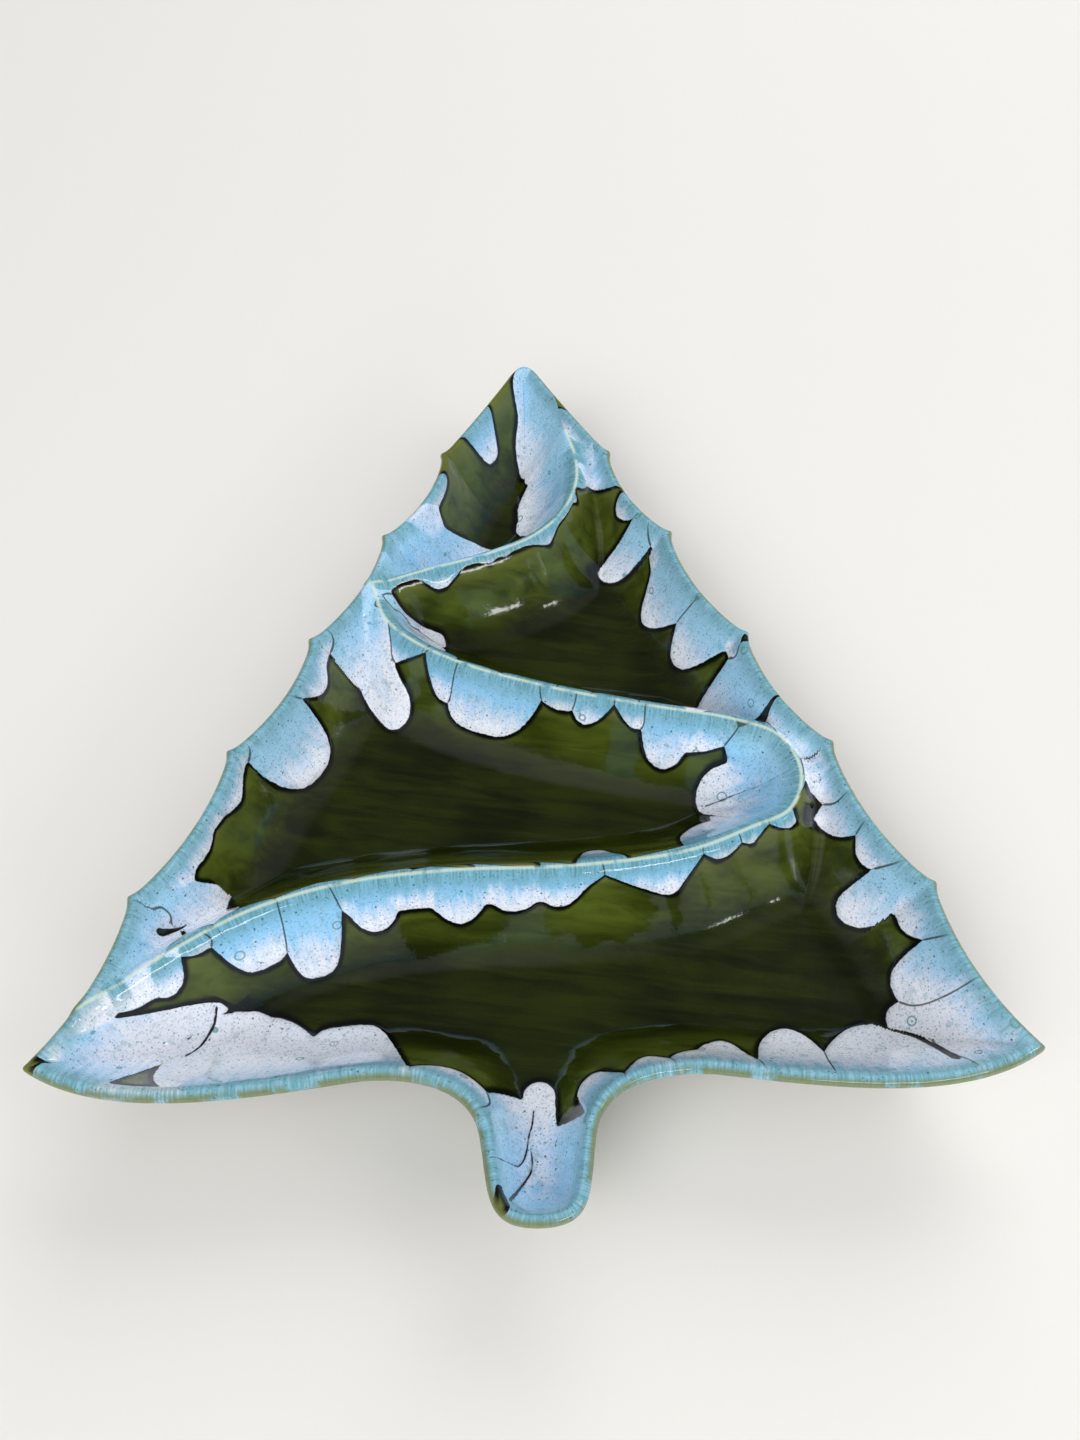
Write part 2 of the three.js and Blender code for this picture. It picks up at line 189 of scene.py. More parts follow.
@dataclass
class TrayForm:
    """The casting's sizes in millimetres, and the height of its upper side over every plan point."""

    rim_height: float = 42.0
    crest_height: float = 40.0
    floor_height: float = 9.0
    trunk_floor_height: float = 21.0
    clay: float = 5.5
    tip: float = 190.0
    tip_round: float = 7.0
    branches: tuple[Point, ...] = (
        (37.5, 130), (61.1, 81), (87.2, 26.2), (112.8, -25.7), (138.9, -83.7), (162.6, -141))
    tip_scallop: float = 1.0
    branch_scallop: float = 5.0
    branch_round: float = 0.02
    horn: float = 1.5
    horn_reach: float = 2.4
    horn_fade: float = 1.2
    horn_aim: Point = (0.86, 0.5)
    front_pulls: tuple[Point, ...] = ((135, -158), (95, -152))
    heel_pulls: tuple[Point, ...] = ((38, -145.5), (20.5, -150))
    trunk_side: Point = (15, -180)
    trunk_corner: float = 17.0
    corner_points: int = 24
    run_points: int = 160
    shoulder: Point = (56, -146.8)
    neck: Point = (18, -164)
    trunk_end: float = -190.0
    floor_tip: float = 138.0
    floor_corner: Point = (114, -117)
    floor_shoulder: Point = (41, -115)
    floor_neck: float = -122.0
    floor_trunk: float = -174.0
    mouth_round: float = 14.0
    wall_belly: float = 2.4
    lower_line: tuple[Point, ...] = (
        (-148, -122.5), (-125, -105), (-98, -89), (-68, -79.5), (-30, -75), (15, -74), (55, -69))
    bend_centre: Point = (76.5, -37.2)
    bend_radius: float = 23.2
    bend_angles: tuple[float, ...] = (-86, -42, 0, 42, 88)
    middle_line: tuple[Point, ...] = ((45, -7), (5, 3), (-28, 15), (-48, 27), (-58.5, 38), (-64, 54))
    upper_line: tuple[Point, ...] = (
        (-65, 54.5), (-45, 62), (-15, 72), (3, 81.5), (15.5, 95), (22, 112), (22.5, 128), (18.5, 146))
    divider_half: float = 27.0
    crest_round: float = 4.0
    divider_belly: float = 1.8
    merge: float = 12.0
    merge_least: float = 3.0
    merge_rise: float = 1.5
    fold: float = 1.1
    fold_pinch: float = 1.6
    fold_width: float = 3.2
    fold_start: float = 0.5
    fold_ease: float = 4.0
    fold_reach: float = 10.0
    least_run: float = 0.5
    steepest: float = 2.5
    upper_from: float = 0.58
    line_end: float = 0.01
    spine_overlap: float = 1.0
    right_rim: EdgeLine = field(init=False)
    left_rim: EdgeLine = field(init=False)
    zigzag: EdgeLine = field(init=False)
    upper: EdgeLine = field(init=False)

    def __post_init__(self) -> None:
        """Draws the rim and the crest lines once."""
        half = self.rim_half()
        turn = np.radians(self.bend_angles)
        bend = np.stack([np.cos(turn), np.sin(turn)], 1) * self.bend_radius + self.bend_centre
        self.right_rim = EdgeLine(half)
        self.right_rim.points = self.horned(self.right_rim.points)
        self.left_rim = EdgeLine(half * [-1, 1])
        self.left_rim.points = self.right_rim.points * [-1, 1]
        self.zigzag = EdgeLine(spline([*self.lower_line, *map(tuple, bend), *self.middle_line]))
        self.upper = EdgeLine(spline(list(self.upper_line)))

    @property
    def lip(self) -> float:
        """Radius of the half-round lip."""
        return self.clay / 2

    def rim_half(self) -> Array:
        """Draws the right half of the rim: hollow scallops between rounded branch ends, then the front and the trunk.

        Returns:
            Plan points from the tip to the end of the trunk.
        """
        starts = [(0, self.tip + self.tip_round), *self.branches[:-1]]
        runs = []
        for number, (a, b) in enumerate(zip(np.array(starts, float), np.array(self.branches, float))):
            depth = self.branch_scallop if number else self.tip_scallop
            inward = np.array([b[1] - a[1], a[0] - b[0]]) / np.hypot(*(b - a))
            runs.append([a, (a + b) / 2 + 2 * depth * inward, b])
        runs.append([self.branches[-1], *self.front_pulls, self.shoulder])
        runs.append([self.shoulder, *self.heel_pulls, self.neck])
        runs.append([self.neck, self.trunk_side, (self.trunk_corner, self.trunk_end), (0, self.trunk_end)])
        tip_share = 2 * self.tip_round / (self.tip + self.tip_round - self.branches[0][1])
        shares = [tip_share] + [self.branch_round] * 6 + [0.0, 0.0, 0.0]
        pieces = []
        for k, run in enumerate(runs):
            after = blend(run, np.array([shares[k]]))[0]
            if shares[k] > 0:
                before = after * [-1, 1] if k == 0 else blend(runs[k - 1], np.array([1 - shares[k]]))[0]
                pieces.append(blend([before, run[0], after], np.linspace(0 if k else 0.5, 1, self.corner_points)))
            pieces.append(blend(run, np.linspace(shares[k], 1 - shares[k + 1], self.run_points)))
        points = np.vstack(pieces)
        return points[np.concatenate([[True], np.hypot(*np.diff(points, axis=0).T) > 1e-6])]

    def horned(self, points: Array) -> Array:
        """Pulls the right rim out into a small horn at each branch end, fading exponentially along it.

        Args:
            points: the rim's plan points.

        Returns:
            The points with the horns.
        """
        for end in self.branches[:-1]:
            near = np.exp(-((np.hypot(*(points - end).T) / self.horn_reach) ** self.horn_fade))
            points = points + self.horn * near[:, None] * self.horn_aim
        return points

    def floor_gap(self, xy: Array) -> tuple[Array, Array]:
        """Measures how far plan points lie outside the flat floor and its tongue into the trunk; where both are near,
        the lesser distance gives way a little, so that the trunk's mouth is round.

        Args:
            xy: plan points.

        Returns:
            The distance to the floor's outline, 0 inside it, and whether the point is inside.
        """
        x, y = xy.T
        corner, shoulder = self.floor_corner, self.floor_shoulder
        outline = np.array([(0, self.floor_tip), corner, shoulder, (0, self.floor_neck),
                            (-shoulder[0], shoulder[1]), (-corner[0], corner[1])], float)
        inside = np.zeros(len(xy), bool)
        gaps = []
        sides = [*zip(outline, np.roll(outline, -1, axis=0)),
                 (outline[3], np.array([0, self.floor_trunk]))]
        for number, (a, b) in enumerate(sides):
            step, gap = b - a, xy - a
            share = np.clip((gap @ step) / (step @ step), 0, 1)
            gaps.append(np.hypot(*(gap - share[:, None] * step).T))
            if number < len(outline) and a[1] != b[1]:
                inside ^= ((a[1] > y) != (b[1] > y)) & (x < step[0] * (y - a[1]) / step[1] + a[0])
        edge, tongue = np.min(gaps[:-1], axis=0), gaps[-1]
        room = np.minimum(self.mouth_round, (edge + tongue) / 2) + 1e-9
        gap = np.minimum(edge, tongue) - np.maximum(room - np.abs(edge - tongue), 0) ** 2 / (4 * room)
        return np.where(inside, 0, gap), inside

    def soft(self, length: Array, radius: float) -> Array:
        """Starts a length off gently, as a hyperbola does: the long side less the radius."""
        return np.hypot(length, radius) - radius

    def join(self, a: Array, b: Array) -> Array:
        """Takes the higher of two heights, with a fillet where they meet above the floor.

        Args:
            a: one height.
            b: the other height.

        Returns:
            The joined height.
        """
        low, high = np.minimum(a, b), np.maximum(a, b)
        room = np.minimum(self.merge, np.maximum(low - self.floor_height, 0))
        room = np.minimum(room, np.maximum(self.merge_rise * (self.rim_height - high), 0) + self.merge_least) + 1e-9
        return high + np.maximum(room - (high - low), 0) ** 2 / (4 * room)

    def folds(self, rim: Array, along: Array) -> Array:
        """Pinches the wall below each branch end: up on one side and down on the other, as the slope of a bell curve,
        fading inwards.

        Args:
            rim: distance from the rim.
            along: length along the rim.

        Returns:
            The height that the folds add.
        """
        ends = np.array(self.branches[:-1], float)
        at = self.right_rim.nearest(ends)[1]
        off = (along[:, None] - at[None]) / self.fold_width
        wave = (-self.fold_pinch * off * np.exp(-(off**2))).sum(1)
        fade = np.clip((rim - self.fold_start) / self.fold_ease, 0, 1) * np.exp(-rim / self.fold_reach)
        return self.fold * wave * fade

    def look(self, xy: Array, lipped: bool = True) -> Place:
        """Works out the upper side: walls fall from the rim to the floor line and dividers from their crests,
        each as one less the share run down, to the power of its belly, and the higher one counts.

        Args:
            xy: plan points, one to a row.
            lipped: whether the half-round lip is cut into the rim.

        Returns:
            The height and the distances from each edge.
        """
        right, along_right, _ = self.right_rim.nearest(xy)
        left, along_left, _ = self.left_rim.nearest(xy)
        zig, along_zig, side_zig = self.zigzag.nearest(xy)
        upper, along_upper, side_upper = self.upper.nearest(xy)
        rim = np.minimum(right, left)
        gap, inside = self.floor_gap(xy)
        fall = np.clip((self.floor_neck - xy[:, 1]) / (self.floor_neck - self.floor_trunk), 0, 1)
        floor = self.floor_height + (self.trunk_floor_height - self.floor_height) * fall**2 * (3 - 2 * fall)
        ease = self.crest_round / 2
        run = self.soft(np.maximum(rim + gap - self.lip, self.least_run), ease)
        share = np.clip(self.soft(np.maximum(rim - self.lip, 0), ease) / np.maximum(run, 1e-6), 0, 1)
        wall = floor + (self.rim_height - floor) * (1 - share) ** self.wall_belly
        wall += self.folds(rim, np.where(right < left, along_right, along_left))
        if lipped:
            into = self.lip - np.clip(rim, 0, self.lip)
            wall -= self.lip - np.sqrt(np.maximum(self.lip**2 - into**2, 0))
        height = np.where(inside, self.floor_height, wall)
        rise = self.crest_height - self.floor_height
        for off in (zig, upper):
            share = np.clip(self.soft(off, self.crest_round) / self.soft(self.divider_half, self.crest_round), 0, 1)
            height = self.join(height, self.floor_height + rise * (1 - share) ** self.divider_belly)
        along = {Face.RIGHT_TIP: along_right, Face.RIGHT_RIM: along_right, Face.LEFT_RIM: along_left,
                 Face.ZIGZAG_OUTER: along_zig, Face.ZIGZAG_INNER: along_zig,
                 Face.UPPER_FRONT: along_upper, Face.UPPER_BACK: along_upper}
        from_rim = np.maximum(self.rim_height - height, 0)
        from_crest = np.maximum(self.crest_height - height, 0)
        down = {Face.LEFT_RIM: np.hypot(left, from_rim)}
        down[Face.RIGHT_TIP] = down[Face.RIGHT_RIM] = np.hypot(right, from_rim)
        down[Face.ZIGZAG_OUTER] = down[Face.ZIGZAG_INNER] = np.hypot(zig, from_crest)
        down[Face.UPPER_FRONT] = down[Face.UPPER_BACK] = np.hypot(upper, from_crest)
        on_zig = (along_zig > self.line_end) & (along_zig < self.zigzag.length - self.line_end)
        on_upper = (along_upper > self.line_end) & (along_upper < self.upper.length - self.line_end)
        tip_well = side_upper >= 0
        upper_well = (side_upper < 0) & (side_zig < 0) & (along_zig > self.zigzag.length * self.upper_from)
        on_right = right <= left + self.spine_overlap
        on = {Face.RIGHT_TIP: on_right & tip_well, Face.RIGHT_RIM: on_right & ~tip_well & (side_zig <= 0),
              Face.LEFT_RIM: (left <= right + self.spine_overlap) & ~upper_well,
              Face.ZIGZAG_OUTER: on_zig & (side_zig <= 0), Face.ZIGZAG_INNER: on_zig & (side_zig >= 0),
              Face.UPPER_FRONT: on_upper & (side_upper <= 0), Face.UPPER_BACK: on_upper & (side_upper >= 0)}
        return Place(height, rim, np.minimum(zig, upper), along, down, on)

    def underside(self, xy: Array, reach: float = 0.5) -> tuple[Array, Place]:
        """Works out the lower side: the clay's thickness under the upper side, measured square to its slope,
        level under the floors, and the lower half of the round lip along the rim.

        Args:
            xy: plan points.
            reach: the step over which the slope is measured.

        Returns:
            The height of the lower side, and the place of the points on the upper side.
        """
        place = self.look(xy, lipped=False)
        step_x, step_y = np.array([reach, 0]), np.array([0, reach])
        slope = np.hypot(self.look(xy + step_x, False).height - self.look(xy - step_x, False).height,
                         self.look(xy + step_y, False).height - self.look(xy - step_y, False).height) / (2 * reach)
        low = place.height - self.clay * np.sqrt(1 + np.minimum(slope, self.steepest) ** 2)
        low = np.maximum(low, self.floor_height - self.clay)
        into = self.lip - np.clip(place.rim, 0, self.lip)
        lip = self.rim_height - self.lip - np.sqrt(np.maximum(self.lip**2 - into**2, 0))
        return np.where(place.rim < self.lip, lip, low), place


LEAN_POWER, TAPER_POWER = 1.3, 1.5   # how late a drip leans, and how soon it narrows
SLENDER, MOST_SLENDER = 1.6, 12.0    # how much squarer a long drip's end is, and the most
USUAL_BLUNT, LEAST_SQUARE = 2.2, 1.8  # how blunt a drip is across, and how square at least
BEYOND = 3.0                         # how much more a gap counts beyond a drip's side or end


@dataclass(frozen=True)
class Drip:
    """One run of overglaze down a slope: where it hangs, how far it runs and how wide it is."""

    at: float
    length: float
    root: float
    end: float
    lean: float = 0.0
    lap: Lap = Lap.UNDER
    blunt: float = USUAL_BLUNT

    def reach(self, along: Array, down: Array) -> tuple[Array, Array]:
        """Measures points against a superellipse that narrows and leans as it runs: the share across to the power of
        its bluntness, and the share down to a power that grows with its slenderness, add up to one on its outline.
        The distance is the height of the right-angled corner between the gaps sideways and downwards, each of them
        longer beyond the drip's side or end.

        Args:
            along: length along the edge, in millimetres.
            down: length down the slope.

        Returns:
            The distance inside the drip (negative outside), and the share run down.
        """
        share = np.maximum(down, 0) / self.length
        middle = self.at + self.lean * share**LEAN_POWER
        half = self.end + (self.root - self.end) * np.clip(1 - share, 0, 1) ** TAPER_POWER
        power = np.clip(SLENDER * self.length / self.end, LEAST_SQUARE * self.blunt / USUAL_BLUNT, MOST_SLENDER)
        aside = np.abs(along - middle)
        across = np.minimum(aside / half, 1)
        run = np.minimum(share, 1)
        past_side = aside - half * (1 - run**power) ** (1 / self.blunt)
        past_side += BEYOND * np.maximum(down - self.length, 0)
        past_end = down - self.length * (1 - across**self.blunt) ** (1 / power)
        past_end += BEYOND * np.maximum(aside - half, 0)
        slant = np.abs(past_side * past_end) / (np.hypot(past_side, past_end) + 1e-9)
        depth = np.where(across**self.blunt + run**power < 1, slant, -slant)
        return np.clip(depth, FAR, DEEP), share


@dataclass(frozen=True)
class Trail:
    """A run of overglaze that crosses the floor on its own path, or the line of a crack in it."""

    path: tuple[Point, ...]
    start: float
    end: float
    lap: Lap = Lap.UNDER

    def reach(self, xy: Array) -> tuple[Array, Array, Array]:
        """Measures plan points against a smooth path whose half width runs evenly from its start to its end.

        Args:
            xy: plan points.

        Returns:
            The distance inside the trail, the share run, and the length along the path.
        """
        line = EdgeLine(spline(list(self.path)))
        gap, along, _ = line.nearest(xy)
        share = along / line.length
        return self.start + (self.end - self.start) * share - gap, share, along


U, O = Lap.UNDER, Lap.OVER
# Each drip: where it hangs along the edge, its length, half widths at the root and the end, lean, lap and bluntness.
DRIPS: dict[Face, tuple[Drip, ...]] = {
    Face.RIGHT_TIP: (
        Drip(28.9, 40.5, 23.4, 23.7, 0.7, U, 6), Drip(56, 30, 17, 10, -3, U, 4),
    ),
    Face.RIGHT_RIM: (
        Drip(445, 5, 66, 66, 0, U, 8), Drip(53.9, 9.5, 12.3, 17.8, -10.3, U, 4.5),
        Drip(77.4, 18, 18.5, 6.8, -1.1, U, 2.8), Drip(105.5, 11, 8, 5.6, -2.8, U, 1.9),
        Drip(117.2, 38, 6.9, 5.4, -5.7, O, 1.6), Drip(136.7, 17, 29.9, 20.1, 11, U, 3.6),
        Drip(150, 33.5, 26.4, 6.2, -0.7, U, 1.8), Drip(171.9, 33, 19.2, 6.6, -0.8, O, 1.8),
        Drip(182.8, 12, 4.3, 12.3, 9.9, O, 4.2), Drip(206.7, 38, 13.5, 12.3, 3.7, U, 5),
        Drip(233.7, 15, 12.7, 12.1, 2.1, O, 4.5), Drip(267.6, 14.5, 3.8, 14.3, -10.5, U, 5.5),
        Drip(255, 9, 11, 9, 0, U, 3),
        Drip(275.3, 20, 10.6, 6.8, -2.8, O, 1.8), Drip(290.9, 15, 16.4, 5.8, -0.7, U, 2.4),
        Drip(303, 36.5, 7.3, 7, -4.9, O, 1.9), Drip(316.3, 19.5, 20.5, 11.6, -2.1, O, 4.6),
        Drip(338, 33.5, 10.8, 9.6, 0.5, U, 2.9), Drip(359.4, 40, 15.1, 9.2, -15, O, 2.1),
        Drip(386.3, 31, 14.9, 14.6, 9.5, O, 3.7), Drip(424.2, 43.5, 27.2, 22.6, -4, U, 2.9),
        Drip(455.5, 41, 15, 10.7, -0.7, O, 2.1), Drip(479.9, 31.5, 15.3, 4.9, -1.4, U, 1.7),
        Drip(489.9, 19, 8.1, 6.4, -3.9, U, 1.6), Drip(502.7, 15.5, 12.2, 2.5, -0.7, O, 2.5),
        Drip(517.3, 23, 8.9, 3.5, -0.7, U, 2.3), Drip(545.3, 36, 21.6, 19.1, 0.7, U, 7),
    ),
    Face.LEFT_RIM: (
        Drip(450, 5, 70, 70, 0, U, 8), Drip(328.2, 23, 19.4, 23.5, -9.6, U, 5.3),
        Drip(46.7, 22.7, 12.4, 5.6, 0.6, U, 3.3), Drip(119, 8.5, 32.7, 39.7, 1.8, U, 3.8),
        Drip(126, 55, 17.9, 31, -9.9, U, 7.9), Drip(167.1, 30, 16.7, 13.4, 10.3, U, 4.4),
        Drip(200.1, 10.5, 21.5, 18.5, -7.4, O, 4.7), Drip(203.6, 15, 14.9, 6.7, -0.7, O, 2.2),
        Drip(228.9, 34.5, 15.5, 13.9, -2.1, U, 2.5), Drip(264.5, 8.5, 26.4, 23.4, -9.2, O, 6.2),
        Drip(262.4, 12, 21.1, 8.9, 0, O, 1.9), Drip(282.7, 11, 14.7, 8.3, 4.6, O, 3.9),
        Drip(304.5, 30.5, 2.8, 12, -6.8, O, 7.8), Drip(304.2, 15, 19.7, 13.4, 0, O, 4.3),
        Drip(344.5, 13, 25.2, 23.4, -0.7, U, 4.6), Drip(361.7, 48.5, 4.9, 16.4, -19.4, U, 3.5),
        Drip(391.1, 57, 11.2, 17.9, 16.2, U, 5.1), Drip(452, 48, 25, 25, -6, U, 2.6),
        Drip(477.8, 43, 20.9, 13.6, -2.1, U, 5), Drip(511.9, 15.5, 17.1, 11.1, 5.3, O, 5.3),
        Drip(541.4, 36.5, 24.7, 21.3, -0.7, U, 5.3),
    ),
    Face.ZIGZAG_OUTER: (
        Drip(13.7, 11, 10.9, 6.4, 1.4, U, 2.4), Drip(26.1, 15, 8.5, 7.2, 0, U, 1.8),
        Drip(40, 6, 5.9, 7.3, 3.9, U, 4.2), Drip(59.5, 24, 16.4, 11.9, -0.4, O, 3.3),
        Drip(79.6, 34.6, 14, 9.6, -2.4, U, 3.3), Drip(137.6, 14.5, 54.1, 41.8, -6.4, O, 6),
        Drip(102.7, 22, 14.6, 7.8, 0, O, 2.5), Drip(132.8, 22.5, 18.1, 8.6, 0.7, O, 1.9),
        Drip(153, 18, 13.9, 10.1, 0, O, 2.2), Drip(169, 16.5, 17.5, 6.6, 0, O, 2.2),
        Drip(200.6, 16.5, 23.1, 6.6, 7.2, U, 1.7), Drip(229.5, 7, 12, 6.1, -2.1, O, 2.5),
        Drip(238.5, 6.1, 10.7, 2.6, 0.7, U, 2.2), Drip(252, 6.2, 6, 2.6, 3.2, O, 3.7),
        Drip(268.4, 2.5, 5.1, 2.5, 9.2, U, 1.9), Drip(281, 2.5, 10, 8, 0, O, 2.2),
        Drip(300.5, 8.5, 10.7, 7.2, -1.4, U, 2.5), Drip(317.2, 12, 9.8, 7, 0, O, 2.2),
        Drip(336.7, 17.5, 10.9, 7.6, 0, U, 2.2), Drip(355.2, 9.5, 10.7, 5.9, 0, O, 2.2),
        Drip(372.5, 14.5, 8.2, 5.1, 2.1, U, 2.2), Drip(389.3, 21, 12.3, 8.4, -0.7, O, 2.2),
        Drip(410.2, 3.5, 13.2, 2.9, 0, U, 1.6), Drip(428.3, 12.5, 8, 5.4, 2.5, O, 2.2),
        Drip(442.9, 10.5, 11.5, 9.4, -1, U, 2.5), Drip(457.5, 30.5, 15.6, 13.6, -11.4, U, 3.2),
    ),
    Face.ZIGZAG_INNER: (
        Drip(10, 14, 15, 14, 0, U, 3), Drip(38, 14.5, 12, 9, 0, U, 2.2), Drip(59.3, 6.5, 13.5, 4.9, -7.1, O, 1.9),
        Drip(84.1, 4.5, 18.1, 2.7, 1.1, U, 1.6), Drip(107.7, 4, 15.1, 5.5, 7.8, O, 1.8),
        Drip(124, 3.5, 12.5, 3, 0.3, U, 1.6), Drip(146.7, 2.5, 7.3, 2.6, -7.8, O, 2.2),
        Drip(168.7, 3, 6.2, 2.5, -6, U, 2.2), Drip(184.5, 28, 9.2, 5, 0, O, 2.8),
        Drip(211.1, 4.5, 20.3, 6.1, 8.2, U, 2.2), Drip(234.9, 33.5, 20.4, 14.8, -2.1, U, 1.9),
        Drip(263.1, 46, 20.8, 19.2, 0.7, U, 5), Drip(295.3, 43.5, 21.7, 6.8, -3.5, U, 5),
        Drip(321.7, 17.5, 27.6, 17.6, 8.1, O, 2.7), Drip(334.1, 26, 11.8, 7.6, 0, O, 1.8),
        Drip(347.5, 10.5, 9.4, 5.1, -2.4, U, 3.4), Drip(364.5, 12.5, 9.9, 5.6, 1.5, O, 1.9),
        Drip(377.8, 8.5, 11, 10.1, -2.1, U, 2.2), Drip(402.1, 27, 20, 17.1, 4, O, 3.4),
        Drip(425.4, 19, 8.7, 4.8, -4.2, U, 2.3), Drip(446, 13.5, 14.6, 3.7, 1.4, O, 3.3),
        Drip(466, 12, 9, 8, 0, O, 2.2),
    ),
    Face.UPPER_FRONT: (
        Drip(2.8, 9.5, 13.3, 2.7, -7.8, U, 2.2), Drip(61.9, 2.6, 46.6, 46.9, -13.5, U, 8),
        Drip(29.9, 9.5, 13.4, 4.8, -1.4, U, 2.8), Drip(51, 4.1, 14.3, 2.6, 0, U, 2.5),
        Drip(58.3, 3.3, 6.4, 2.5, 0, U, 2.2), Drip(77, 7.1, 14, 2.8, 0.7, U, 1.9),
        Drip(101.2, 3.2, 3.2, 2.6, 0, U, 1.9), Drip(115.5, 7, 8.1, 6, 0, U, 2.5),
        Drip(129.8, 12, 10.3, 8.2, -0.7, U, 2.2),
    ),
    Face.UPPER_BACK: (
        Drip(50, 31.5, 48.1, 47.1, -0.3, U, 8), Drip(19.7, 44.5, 29.2, 26.5, -3.2, U, 3.7),
        Drip(118.1, 41, 29.3, 26.5, -2.1, U, 5.1),
    ),
}
# Each trail and crack: its path in plan, and its half widths at the start and the end.
TRAILS: tuple[Trail, ...] = (
    Trail(((0.4, 187), (-1.2, 177), (0.9, 167), (-0.4, 156), (1.6, 146)), 4.0, 4.2, U),
    Trail(((-66, 49), (-66.5, 33), (-61.5, 18.5), (-55.5, 9.5)), 10.0, 6.6, U),
    Trail(((-62, 52), (-53, 45.5), (-39, 44)), 4.0, 3.2, O),
    Trail(((84, -33), (72.6, -33)), 9.0, 8.0, U),
    Trail(((84, -41), (75, -43)), 7.0, 6.0, U),
    Trail(((78, -51), (70, -53), (61.5, -54.5)), 8.0, 5.6, U),
    Trail(((-1, -174), (0.4, -160), (0.7, -146.5)), 5.6, 5.2, U),
    Trail(((-114, -137), (-109.5, -125.5), (-98, -120.5)), 10.5, 5.8, U),
)
CRACKS: tuple[Trail, ...] = (
    Trail(((-1.3, -151.7), (-1.9, -156.5), (-2.9, -159.9), (-3.6, -164.5), (-4.9, -168.4), (-6.4, -170.3)), 0.3, 0.2),
    Trail(((-6.4, -170.3), (-11.7, -170.2), (-14.8, -170.7)), 0.2, 0.15),
    Trail(((-2.6, -163.1), (-2.0, -166.9), (-2.4, -171.2), (-5.3, -175.8), (-8.7, -181.7)), 0.1, 0.5),
    Trail(((-11.9, -179.1), (-11.3, -184.1)), 1.0, 2.6),
    Trail(((97.5, -35.7), (92.4, -34.9), (86.6, -33.9), (82.1, -33.1), (76.9, -33.8), (68.1, -35.7)), 0.05, 0.2),
    Trail(((67.3, -39.4), (72, -41.5), (75, -43.5)), 0.5, 0.1),
    Trail(((-110.5, -114.8), (-111.7, -119.6), (-114.0, -123.5), (-116.8, -127.9), (-119.1, -130.7)), 0.4, 0.3),
    Trail(((122.4, -125.0), (129.3, -129.6), (132.8, -135.0), (134.9, -141.4)), 0.3, 1.4),
    Trail(((-123.5, -87.2), (-129.8, -91.9)), 0.2, 1.3),
)


@dataclass
class Coat:
    """What the overglaze does at each point: how deep inside two laps and their difference, and how far it has run."""

    under: Array
    over: Array
    apart: Array
    flow: Array
    along: Array
    down: Array

    @property
    def inside(self) -> Array:
        """Distance inside the overglaze, negative where the green shows."""
        return np.maximum(self.under, self.over)


